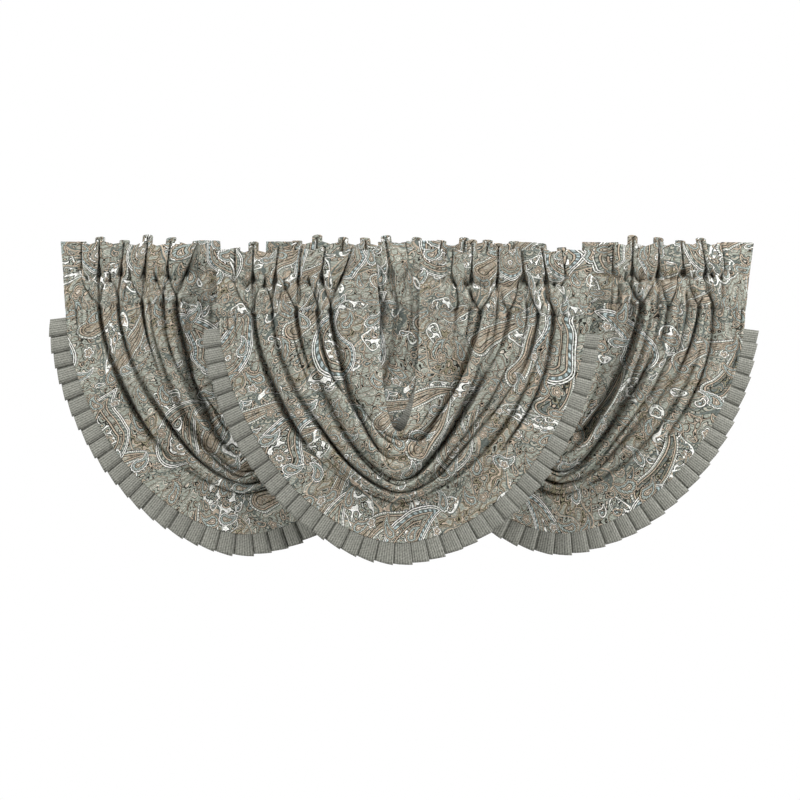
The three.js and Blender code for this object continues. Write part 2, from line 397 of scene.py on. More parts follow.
class Board:
    """The nodes of one material."""

    def __init__(self, name: str) -> None:
        """Start an empty material of that name."""
        self.material = bpy.data.materials.new(name)
        self.material.use_nodes = True
        self.tree = self.material.node_tree
        self.tree.nodes.clear()

    def node(
        self,
        kind: str,
        settings: dict[str, object] | None = None,
        sockets: dict[str | int, Feed] | None = None,
        out: str | int = 0,
    ) -> Socket:
        """Add a node.

        Args:
            kind: The node's type after ShaderNode.
            settings: Its settings; stops is a colour ramp's list of places and colours.
            sockets: The values or links of its inputs.
            out: Which output to hand back.

        Returns:
            That output.
        """
        made = self.tree.nodes.new("ShaderNode" + kind)
        for key, value in (settings or {}).items():
            if key == "stops":
                self.fill_ramp(made.color_ramp, value)
            else:
                setattr(made, key, value)
        for key, value in (sockets or {}).items():
            if isinstance(value, Socket):
                self.tree.links.new(value.link, made.inputs[key])
            else:
                made.inputs[key].default_value = value
        return Socket(self, made.outputs[out] if made.outputs else None)

    @staticmethod
    def fill_ramp(ramp: bpy.types.ColorRamp, stops: list[tuple[float, tuple]]) -> None:
        """Set a colour ramp's stops.

        Args:
            ramp: The ramp.
            stops: Places from 0 to 1 with the colour and alpha that start there.
        """
        ramp.interpolation = "CONSTANT"
        for index, (place, colour) in enumerate(stops):
            stop = ramp.elements[index] if index < 2 else ramp.elements.new(place)
            stop.position = place
            stop.color = colour

    def math(self, operation: str, *values: Feed) -> Socket:
        """Add a Math node of an operation and its values."""
        return self.node("Math", {"operation": operation}, dict(enumerate(values)))

    def vector(self, operation: str, *values: Feed, out: str = "Vector") -> Socket:
        """Add a Vector Math node of an operation and its values."""
        return self.node("VectorMath", {"operation": operation}, dict(enumerate(values)), out)

    def length(self, vector: Socket) -> Socket:
        """Measure a vector."""
        return self.vector("LENGTH", vector, out="Value")

    def turn(self, vector: Socket, angle: Feed) -> Socket:
        """Turn a vector about Z by an angle in radians."""
        sockets = {"Vector": vector, "Angle": angle}
        return self.node("VectorRotate", {"rotation_type": "Z_AXIS"}, sockets)

    def split(self, vector: Socket) -> tuple[Socket, Socket, Socket]:
        """Take a vector apart into X, Y and Z."""
        x = self.node("SeparateXYZ", sockets={0: vector})
        outputs = x.link.node.outputs
        return x, Socket(self, outputs[1]), Socket(self, outputs[2])

    def join(self, x: Feed, y: Feed, z: Feed = 0.0) -> Socket:
        """Put a vector together."""
        return self.node("CombineXYZ", sockets={0: x, 1: y, 2: z})

    def mix(self, share: Feed, a: Feed, b: Feed, way: str = "MIX") -> Socket:
        """Mix two colours.

        Args:
            share: How much of the second colour.
            a: The first colour.
            b: The second colour.
            way: The Mix node's blending.

        Returns:
            The mixed colour.
        """
        settings = {"data_type": "RGBA", "blend_type": way}
        return self.node("Mix", settings, {0: share, 6: a, 7: b}, 2)

    def noise(self, place: Socket, scale: float, detail: float = 2.0, out: str = "Fac") -> Socket:
        """Read soft noise at a scale per metre."""
        sockets = {"Vector": place, "Scale": scale, "Detail": detail}
        return self.node("TexNoise", {"noise_dimensions": "2D"}, sockets, out)

    def streaks(self, place: Socket, across: float, down: float, detail: float) -> Socket:
        """Read soft noise at one scale per metre across the cloth and another down it."""
        return self.noise(self.vector("MULTIPLY", place, (across, down, 0)), 1.0, detail)

    def stir(self, place: Socket, scale: float, size: float) -> Socket:
        """Give slow uneven offsets of up to half a size in metres, at a scale per metre."""
        chance = self.noise(place, scale, 1.0, "Color")
        return self.vector("MULTIPLY_ADD", chance, (size, size, 0), (-size / 2, -size / 2, 0))

    def wave(self, distance: Socket, pitch: float) -> Socket:
        """Go up to 1 and down to 0 once in every pitch of a distance."""
        return (distance * (2 * math.pi / pitch)).use("SINE") * 0.5 + 0.5

    def petals(self, core: Socket, half: float) -> Socket:
        """Go up to 1 and down to 0 for each petal round a middle, of twice half a number of petals."""
        x, y, _ = self.split(core)
        return (self.math("ARCTAN2", x, y) * half).use("SINE").use("ABSOLUTE")

    def dim(self, colour: Socket, tone: Socket) -> Socket:
        """Multiply a colour by a grey tone."""
        return self.mix(1.0, colour, self.join(tone, tone, tone), "MULTIPLY")

    def finish(self, sockets: dict[str | int, Feed]) -> bpy.types.Material:
        """Add the surface shader.

        Args:
            sockets: The values or links of the shader.

        Returns:
            The finished material.
        """
        shader = self.node("BsdfPrincipled", sockets=sockets)
        self.node("OutputMaterial", sockets={"Surface": shader})
        return self.material

    def weave(
        self, colour: Socket, roughness: Socket, height: Socket, strength: float, depth: float
    ) -> bpy.types.Material:
        """Finish the material as dull woven cloth.

        Args:
            colour: Its colour.
            roughness: Its roughness.
            height: The height of its threads.
            strength: How strongly they show.
            depth: How deep they are, metres.

        Returns:
            The finished material.
        """
        bump = self.node("Bump", sockets={"Strength": strength, "Distance": depth, "Height": height})
        return self.finish(
            {
                "Base Color": colour,
                "Roughness": roughness,
                "Normal": bump,
                "Specular IOR Level": 0.16,
                "Sheen Weight": 0.03,
                "Sheen Roughness": 0.5,
            }
        )


def dye(red: int, green: int, blue: int, alpha: float = 1.0) -> tuple[float, float, float, float]:
    """Turn a screen colour from 0 to 255 into the renderer's colour.

    Args:
        red: Red.
        green: Green.
        blue: Blue.
        alpha: How much it covers.

    Returns:
        The linear colour with its alpha.
    """
    def linear(value: int) -> float:
        """Undo the screen's curve."""
        share = value / 255
        return share / 12.92 if share <= 0.04045 else ((share + 0.055) / 1.055) ** 2.4

    return linear(red), linear(green), linear(blue), alpha


@dataclass(frozen=True)
class Repeat:
    """How one motif is set out over the cloth.

    Attributes:
        across: Its pitch along the cloth, metres.
        down: Its pitch down the cloth, metres.
        shift: Where its rows start, in pitches.
        lean: How far it leans over, radians.
        turn: The most it is turned either way from that, radians.
        keep: The share of places that hold it.
        body: The radius of a drop's round end, metres.
        spine: The length of a drop from the middle of its round end to its tip, metres.
        bend: The radius of the arc that a drop's spine follows, metres.
    """

    across: float
    down: float
    shift: tuple[float, float]
    lean: float
    turn: float
    keep: float
    body: float
    spine: float = 0
    bend: float = 1


@dataclass(frozen=True)
class PaisleyCloth:
    """The face cloth: a dense paisley jacquard of fine scrolling lines, leaves, drops and flowers.

    Attributes:
        ground: The colour of the plain ground.
        shade: The hatching on it.
        line: The darkest outlines.
        tan: A warm thread.
        cream: A pale warm thread.
        white: The palest thread.
        sky: A pale blue thread.
        slate: A dark grey thread.
        olive: A dark warm thread.
        clear: Nothing, where the layer below shows.
        small: How the small drops are set out.
        leaf: How the long leaves are set out.
        great: How the great drops are set out.
        middle: How the middle-sized drops are set out.
        flower: How the flowers are set out.
        leaf_slant: How far the rows of leaves are turned, radians.
        scroll_slant: How far the scrolling lines are turned, radians.
        hatch_pitch: From line to line of the hatching, metres.
        rib_pitch: From thread to thread down the cloth, metres.
        warp_pitch: From thread to thread along it, metres.
        scale_size: The width and the height of a row of scales, metres.
    """

    ground: tuple = dye(164, 168, 157)
    shade: tuple = dye(128, 131, 120)
    line: tuple = dye(46, 45, 39)
    tan: tuple = dye(184, 169, 150)
    cream: tuple = dye(206, 198, 184)
    white: tuple = dye(238, 238, 233)
    sky: tuple = dye(174, 189, 190)
    slate: tuple = dye(104, 111, 106)
    olive: tuple = dye(140, 134, 110)
    clear: tuple = (0.5, 0.5, 0.5, 0.0)
    small: Repeat = Repeat(
        across=0.032, down=0.036, shift=(0.2, 0.1), lean=1.3, turn=0.6, keep=0.88,
        body=0.0062, spine=0.018, bend=0.016,
    )
    leaf: Repeat = Repeat(
        across=0.105, down=0.3, shift=(0.3, 0.2), lean=0, turn=0.12, keep=0.66,
        body=0.021, spine=0.21, bend=0.26,
    )
    great: Repeat = Repeat(
        across=0.205, down=0.235, shift=(0.15, 0.45), lean=0.35, turn=0.5, keep=0.66,
        body=0.05, spine=0.16, bend=0.11,
    )
    middle: Repeat = Repeat(
        across=0.06, down=0.076, shift=(0.35, 0.75), lean=1.0, turn=1.2, keep=0.62,
        body=0.013, spine=0.041, bend=0.029,
    )
    flower: Repeat = Repeat(
        across=0.083, down=0.071, shift=(0.6, 0.3), lean=0, turn=3.0, keep=0.34, body=0.015
    )
    leaf_slant: float = 0.75
    scroll_slant: float = 0.7
    hatch_pitch: float = 0.0062
    rib_pitch: float = 0.0019
    warp_pitch: float = 0.0012
    scale_size: tuple[float, float] = (0.02, 0.011)

    def place(self, board: Board, cloth: Socket, plan: Repeat) -> tuple[Socket, Socket, Socket]:
        """Find the place on one motif of a repeat.

        Args:
            board: The material.
            cloth: Places on the flat cloth, metres.
            plan: The repeat.

        Returns:
            The place from the motif's middle in metres, whether the motif is there, and a number from
            0 to 1 of its own.
        """
        pace = (1 / plan.across, 1 / plan.down, 0)
        spread = board.vector("MULTIPLY_ADD", cloth, pace, (*plan.shift, 0))
        x, y, _ = board.split(spread)
        spread = board.join(x + y.use("FLOOR") * 0.5, y)
        cell = board.vector("FLOOR", spread)
        chance = board.node("TexWhiteNoise", {"noise_dimensions": "2D"}, {"Vector": cell}, "Color")
        first, second, third = board.split(chance)
        inside = board.vector("SUBTRACT", board.vector("FRACTION", spread), (0.5, 0.5, 0))
        flip = (first > 0.5) * (2 * plan.across) - plan.across
        inside = board.vector("MULTIPLY", inside, board.join(flip, plan.down))
        angle = second * (2 * plan.turn) + (plan.lean - plan.turn)
        return board.turn(inside, angle), third < plan.keep, first

    def drop(self, board: Board, inside: Socket, plan: Repeat) -> tuple[Socket, Socket, Socket]:
        """Shape a drop whose tip curls over.

        Args:
            board: The material.
            inside: The place from the drop's middle, metres.
            plan: The repeat that it belongs to.

        Returns:
            How far outside the outline a place is in millimetres, how far along the outline it is in
            radii of the body, and its place from the middle of the round end in the same.
        """
        from_hub = board.vector("ADD", inside, (plan.bend, plan.spine * 0.38, 0))
        x, y, _ = board.split(from_hub)
        along = board.math("ARCTAN2", y, x) * (plan.bend / plan.body)
        aside = board.length(from_hub) / plan.body - plan.bend / plan.body
        tip = plan.spine / plan.body
        spine = board.node("Clamp", sockets={"Value": along, "Max": tip})
        beyond = along - spine
        reach = board.length(board.join(aside, beyond))
        taper = (1 - spine / tip) ** 0.8
        round_end = board.math("ARCTAN2", beyond, aside.use("ABSOLUTE"))
        return (reach - taper) * (plan.body / MM), spine + round_end, board.join(aside, along)

    def bands(
        self, board: Board, level: Socket, stops: list[tuple[float, tuple]], span: tuple[float, float]
    ) -> tuple[Socket, Socket]:
        """Colour the bands of a motif from its middle outwards.

        Args:
            board: The material.
            level: The level at a place.
            stops: The level where each band starts, with its colour.
            span: The lowest and the highest level.

        Returns:
            The colour and how much it covers.
        """
        wide = span[1] - span[0]
        scaled = [((place - span[0]) / wide, colour) for place, colour in stops]
        share = level / wide - span[0] / wide
        colour = board.node("ValToRGB", {"stops": scaled}, {"Fac": share}, "Color")
        return colour, Socket(board, colour.link.node.outputs["Alpha"])

    def material(self) -> bpy.types.Material:
        """Make the cloth's material.

        Returns:
            The material.
        """
        board = Board("paisley_jacquard")
        flat = board.node("UVMap", {"uv_map": "cloth"})
        slow = board.vector("ADD", flat, board.stir(flat, 5.0, 0.06))
        cloth = board.vector("ADD", slow, board.stir(flat, 60.0, 0.003))

        fills = self.fills(board, cloth)
        where = board.noise(slow, 7.0, 1.0)
        colour = self.grounds(board, slow, where, fills)
        colour = self.small_drops(board, cloth, where, colour)
        colour = self.long_leaves(board, slow, fills, colour)
        colour = self.great_drops(board, slow, fills, colour)
        colour = self.middle_drops(board, cloth, colour)
        colour = self.flowers(board, cloth, colour)
        return self.weave(board, flat, colour)

    def fills(self, board: Board, cloth: Socket) -> dict[Fill, Socket]:
        """Draw the fine scrolling lines that fill the cloth's fields.

        Args:
            board: The material.
            cloth: Places on the cloth.

        Returns:
            The colour of each fill.
        """
        curled = board.vector("ADD", cloth, board.stir(cloth, 34.0, 0.01))
        scroll = board.streaks(board.turn(curled, self.scroll_slant), 70, 42, 0.0)
        settings = {"voronoi_dimensions": "2D", "feature": "F1"}
        leaf = board.node("TexVoronoi", settings, {"Vector": curled, "Scale": 74.0}, "Distance")
        plans = {
            Fill.PALE: (
                (0.2, self.clear), (0.37, self.line), (0.415, self.tan), (0.455, self.line),
                (0.5, self.clear), (0.62, self.line), (0.665, self.cream), (0.72, self.clear),
            ),
            Fill.PEACH: (
                (0.2, self.clear), (0.26, self.tan), (0.31, self.line), (0.35, self.clear),
                (0.41, self.line), (0.45, self.tan), (0.505, self.line), (0.545, self.olive),
                (0.61, self.line), (0.65, self.tan), (0.71, self.clear),
            ),
            Fill.DARK: (
                (0.2, self.slate), (0.36, self.line), (0.41, self.olive), (0.47, self.slate),
                (0.54, self.line), (0.59, self.tan), (0.64, self.slate),
            ),
        }
        x, y, _ = board.split(cloth)
        hatch = board.wave(x * 0.35 + y, self.hatch_pitch)
        made = {}
        for fill, stops in plans.items():
            colour, cover = self.bands(board, scroll, list(stops), (0.2, 0.8))
            made[fill] = board.mix(cover, board.mix(hatch * 0.6, self.ground, self.shade), colour)
        stops = [
            (0, self.tan), (0.12, self.line), (0.22, self.ground), (0.39, self.line), (0.54, self.white),
        ]
        made[Fill.WHITE], _ = self.bands(board, leaf, stops, (0, 0.8))
        return made

    def grounds(self, board: Board, slow: Socket, where: Socket, fills: dict[Fill, Socket]) -> Socket:
        """Divide the ground into fields, each with its own fill and a fine outline.

        Args:
            board: The material.
            slow: Places on the cloth, gently swayed.
            where: A slow level that divides the fields.
            fills: The fills.

        Returns:
            The ground's colour.
        """
        colour = board.mix(where.near(0.46, 0.02), fills[Fill.PALE], self.scales(board, slow))
        colour = board.mix(where > 0.615, colour, fills[Fill.PEACH])
        other = board.noise(board.vector("ADD", slow, (3.1, 1.7, 0)), 9.0, 1.0)
        colour = board.mix(other > 0.655, colour, fills[Fill.WHITE])
        for level, field, tone in (
            (0.44, where, self.slate),
            (0.48, where, self.slate),
            (0.62, where, self.slate),
            (0.608, where, self.tan),
            (0.655, other, self.white),
            (0.641, other, self.slate),
        ):
            colour = board.mix(field.near(level, 0.006), colour, tone)
        return colour

    def scales(self, board: Board, slow: Socket) -> Socket:
        """Draw rows of overlapping scales.

        Args:
            board: The material.
            slow: Places on the cloth, gently swayed.

        Returns:
            Their colour.
        """
        width, height = self.scale_size
        x, y, _ = board.split(board.vector("DIVIDE", slow, (width, height, 1)))
        across = (x + y.use("FLOOR") * 0.5).use("FRACT") - 0.5
        down = 1 - y.use("FRACT")
        level = board.length(board.join(across, down * 0.55))
        stops = [
            (0, self.slate), (0.1, self.line), (0.17, self.ground), (0.27, self.tan), (0.34, self.ground),
            (0.45, self.line), (0.53, self.shade),
        ]
        colour, _ = self.bands(board, level, stops, (0, 0.7))
        return colour

    def small_drops(self, board: Board, cloth: Socket, where: Socket, under: Socket) -> Socket:
        """Lay rows of small drops over the pale fields.

        Args:
            board: The material.
            cloth: Places on the cloth.
            where: The slow level that divides the fields.
            under: The colour so far.

        Returns:
            The colour with them.
        """
        inside, there, own = self.place(board, cloth, self.small)
        level, _, _ = self.drop(board, inside, self.small)
        stops = [
            (-8, self.cream), (-4.6, self.line), (-3.5, self.clear), (-1.7, self.line), (-0.8, self.tan),
            (1.3, self.line), (2.3, self.clear),
        ]
        colour, cover = self.bands(board, level, stops, (-8, 4))
        colour = board.mix((level < -4.6) * (own > 0.6), colour, self.sky)
        colour = board.mix(level.near(0.35, 0.9) * (own > 0.86), colour, self.white)
        return board.mix(cover * there * where.near(0.5, 0.1), under, colour)

    def long_leaves(
        self, board: Board, slow: Socket, fills: dict[Fill, Socket], under: Socket
    ) -> Socket:
        """Lay long leaves on the slant, each with a beaded edge.

        Args:
            board: The material.
            slow: Places on the cloth, gently swayed.
            fills: The fills.
            under: The colour so far.

        Returns:
            The colour with them.
        """
        inside, there, own = self.place(board, board.turn(slow, self.leaf_slant), self.leaf)
        level, along, _ = self.drop(board, inside, self.leaf)
        stops = [
            (-21, self.clear), (-5.4, self.line), (-3.8, self.tan), (-1.4, self.line), (0.2, self.ground),
            (2.6, self.white), (4.8, self.line), (6.2, self.clear),
        ]
        colour, cover = self.bands(board, level, stops, (-21, 8))
        beads = (along * 26).use("SINE") > 0.55
        colour = board.mix(level.near(3.7, 1.1) * beads, colour, self.slate)
        fill = board.mix(own > 0.7, board.mix(0.35, fills[Fill.PEACH], self.tan), fills[Fill.DARK])
        vein = level.near(-11.5, 1)
        fill = board.mix(vein, fill, self.line)
        colour = board.mix(cover, fill, colour)
        return board.mix((level < 6.2) * there, under, colour)

    def great_drops(
        self, board: Board, slow: Socket, fills: dict[Fill, Socket], under: Socket
    ) -> Socket:
        """Lay the great drops, with two white lines and fine ticks along the border.

        Args:
            board: The material.
            slow: Places on the cloth, gently swayed.
            fills: The fills.
            under: The colour so far.

        Returns:
            The colour with them.
        """
        inside, there, own = self.place(board, slow, self.great)
        level, along, core = self.drop(board, inside, self.great)
        stops = [
            (-50, self.clear), (-29, self.line), (-27.4, self.tan), (-25, self.line), (-23.4, self.clear),
            (-16.6, self.line), (-15, self.tan), (-12.6, self.line), (-11.2, self.ground),
            (-6.6, self.line), (-5.2, self.white), (-3.2, self.shade), (-0.9, self.white),
            (1.1, self.line), (2.6, self.clear),
        ]
        colour, cover = self.bands(board, level, stops, (-50, 4))
        border = level.near(-8.9, 2.3)
        ticks = (along * 23 + level * 0.25).use("SINE") > 0.1
        colour = board.mix(border * ticks, colour, self.slate)
        colour = board.mix(border * (ticks < 0.5) * (own > 0.3), colour, self.sky)
        ticks = (along * 31).use("SINE") > 0.3
        colour = board.mix(level.near(-2, 1.2) * ticks, colour, self.line)
        inner = board.mix(level < -26, fills[Fill.PALE], fills[Fill.WHITE])
        inner = board.mix(own > 0.55, inner, fills[Fill.PALE])
        colour = board.mix(cover, inner, colour)
        bloom = board.length(core) / (board.petals(core, 4) * 0.13 + 0.24)
        stops = [
            (0, self.tan), (0.16, self.line), (0.25, self.white), (0.4, self.line), (0.48, self.shade),
            (0.66, self.tan), (0.78, self.line), (0.86, self.cream), (0.94, self.line), (1, self.clear),
        ]
        flower, covered = self.bands(board, bloom, stops, (0, 1.1))
        colour = board.mix(covered, colour, flower)
        return board.mix((level < 2.6) * there, under, colour)

    def middle_drops(self, board: Board, cloth: Socket, under: Socket) -> Socket:
        """Strew middle-sized drops with a scalloped edge.

        Args:
            board: The material.
            cloth: Places on the cloth.
            under: The colour so far.

        Returns:
            The colour with them.
        """
        inside, there, own = self.place(board, cloth, self.middle)
        level, along, _ = self.drop(board, inside, self.middle)
        edge = level + (along * 7).use("SINE").use("ABSOLUTE") * 1.6
        stops = [
            (-16, self.cream), (-11, self.line), (-9.7, self.tan), (-7.8, self.line), (-6.5, self.shade),
            (-2.6, self.ground),
        ]
        colour, _ = self.bands(board, level, stops, (-16, 5))
        hatch = (along * 13 + level * 1.4).use("SINE") > 0.1
        colour = board.mix(level.near(-4.5, 1.5) * hatch, colour, self.sky)
        stops = [
            (-16, self.clear), (-1, self.line), (0.3, self.tan), (2.2, self.line), (3.4, self.clear),
        ]
        rim, cover = self.bands(board, edge, stops, (-16, 5))
        colour = board.mix(cover, colour, rim)
        colour = board.mix(edge.near(1.25, 0.95) * (own > 0.7), colour, self.white)
        return board.mix((edge < 3.4) * there, under, colour)

    def flowers(self, board: Board, cloth: Socket, under: Socket) -> Socket:
        """Strew five-petalled flowers.

        Args:
            board: The material.
            cloth: Places on the cloth.
            under: The colour so far.

        Returns:
            The colour with them.
        """
        inside, there, own = self.place(board, cloth, self.flower)
        reach = board.length(inside) / self.flower.body
        level = reach / (board.petals(inside, 2.5) * 0.45 + 0.58)
        stops = [
            (0, self.cream), (0.2, self.line), (0.3, self.tan), (0.46, self.line), (0.56, self.white),
            (0.7, self.line), (0.8, self.ground), (0.94, self.line), (1.05, self.clear),
        ]
        colour, cover = self.bands(board, level, stops, (0, 1.2))
        colour = board.mix(level.near(0.63, 0.07) * (own > 0.4), colour, self.tan)
        return board.mix(cover * there, under, colour)

    def weave(self, board: Board, flat: Socket, colour: Socket) -> bpy.types.Material:
        """Finish the drawn colours as woven cloth.

        Args:
            board: The material.
            flat: Places on the flat cloth.
            colour: The drawn colours.

        Returns:
            The material.
        """
        x, y, _ = board.split(flat)
        slub = board.streaks(flat, 90, 900, 2.0)
        rib = board.wave(y, self.rib_pitch)
        warp = board.wave(x, self.warp_pitch)
        thread = slub * 0.5 + rib * 0.35 + warp * 0.15
        tone = board.noise(flat, 11.0, 3.0)
        grain = board.streaks(flat, 190, 300, 1.0)
        colour = board.dim(colour, thread * 0.3 + tone * 0.26 + grain * 1.5 + 0.03)
        grey = board.node("RGBToBW", sockets={0: colour})
        return board.weave(colour, 0.78 - grey * 0.3, grey * 0.7 + thread * 0.6, 0.5, 0.0006)


@dataclass(frozen=True)
class RibbedTrim:
    """The ruffle's plain cloth, with fine uneven ribs that run out along each pleat.

    Attributes:
        light: The colour on the ribs.
        dark: The colour between them.
        pitch: From rib to rib, metres.
        drift: How far a rib wanders, metres.
        pick_pitch: From thread to thread across the ribs, metres.
    """

    light: tuple = dye(163, 163, 154)
    dark: tuple = dye(94, 95, 88)
    pitch: float = 0.0054
    drift: float = 0.0016
    pick_pitch: float = 0.0062

    def material(self) -> bpy.types.Material:
        """Make the trim's material.

        Returns:
            The material.
        """
        board = Board("ribbed_trim")
        flat = board.node("UVMap", {"uv_map": "cloth"})
        x, y, _ = board.split(flat)
        drift = board.streaks(flat, 160, 14, 2.0) * self.drift
        rib = board.wave(x + drift, self.pitch)
        slub = board.streaks(flat, 310, 170, 1.0)
        pick = board.wave(y + x * 0.5, self.pick_pitch)
        height = rib * 0.5 + slub * 0.9 + pick * 0.16 - 0.18
        share = board.math("SMOOTH_MIN", height * 1.1 - 0.12, 1.0, 0.2)
        tone = board.noise(flat, 9.0, 2.0) * 0.3 + 0.85
        colour = board.dim(board.mix(share, self.dark, self.light), tone)
        return board.weave(colour, 0.8 - slub * 0.2, height, 0.6, 0.0008)


@dataclass(frozen=True)
class Finishes:
    """The two cloths of the set, once made."""

    face: bpy.types.Material
    trim: bpy.types.Material


@dataclass
class Sheet:
    """One piece of cloth, from a grid of points to a dressed piece.

    Attributes:
        name: The piece's name.
        node: The CAD node that it stands for.
        slot: The name of its material slot; not used.
        hang: Where its valance hangs.
        thickness: Millimetres.
        hold: How it is held; not used.
        rests_on: The nodes that carry it.
    """

    name: str
    node: str
    slot: str
    hang: Hang
    thickness: float
    hold: Hold
    rests_on: tuple[str, ...] = ()

    def build(self, grid: np.ndarray, cloth: np.ndarray, turned: bool) -> bpy.types.Object:
        """Make the piece's mesh.

        Args:
            grid: Its points in the valance, rows by columns by 3, millimetres.
            cloth: The same points on the flat cloth, rows by columns by 2, metres.
            turned: Whether its faces are to be turned to the viewer.

        Returns:
            The new object.
        """
        rows, columns = grid.shape[:2]
        points = (grid + (self.hang.along, self.hang.back, self.hang.height)) * MM
        index = np.arange(rows * columns).reshape(rows, columns)
        corners = [index[:-1, :-1], index[:-1, 1:], index[1:, 1:], index[1:, :-1]]
        faces = np.stack(corners[::-1] if turned else corners, axis=-1).reshape(-1, 4)
        mesh = bpy.data.meshes.new(self.name)
        mesh.from_pydata(points.reshape(-1, 3).tolist(), [], faces.tolist())
        mesh.polygons.foreach_set("use_smooth", np.ones(len(faces), dtype=bool))
        layer = mesh.uv_layers.new(name="cloth")
        layer.data.foreach_set("uv", cloth.reshape(-1, 2)[faces.ravel()].ravel())
        mesh.update()
        piece = bpy.data.objects.new(self.name, mesh)
        bpy.context.scene.collection.objects.link(piece)
        wall = piece.modifiers.new("thickness", "SOLIDIFY")
        wall.thickness = self.thickness * MM
        wall.offset = 0
        return piece

    def dress(self, piece: bpy.types.Object, grid: np.ndarray, finish: bpy.types.Material) -> None:
        """Give a piece its cloth, hang it from the root body, hide its CAD node and log its cut size.

        Args:
            piece: The piece.
            grid: Its points, millimetres.
            finish: Its cloth.
        """
        piece.data.materials.append(finish)
        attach(piece, "root")
        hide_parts(self.node)
        area = self.area(grid)
        width = math.ceil(np.median(steps(grid, 1)[:, -1])) * MM
        length = math.ceil(area / width / MM) * MM
        list(self.rests_on)
        LOG.info("%s: cut %.0f x %.0f mm", self.name, width / MM, length / MM)

    @staticmethod
    def area(grid: np.ndarray) -> float:
        """Measure the cloth in a grid of points in millimetres.

        Args:
            grid: The points.

        Returns:
            Square metres.
        """
        a = grid[1:, 1:] - grid[:-1, :-1]
        b = grid[1:, :-1] - grid[:-1, 1:]
        return float(np.linalg.norm(np.cross(a, b), axis=2).sum() / 2) * MM * MM


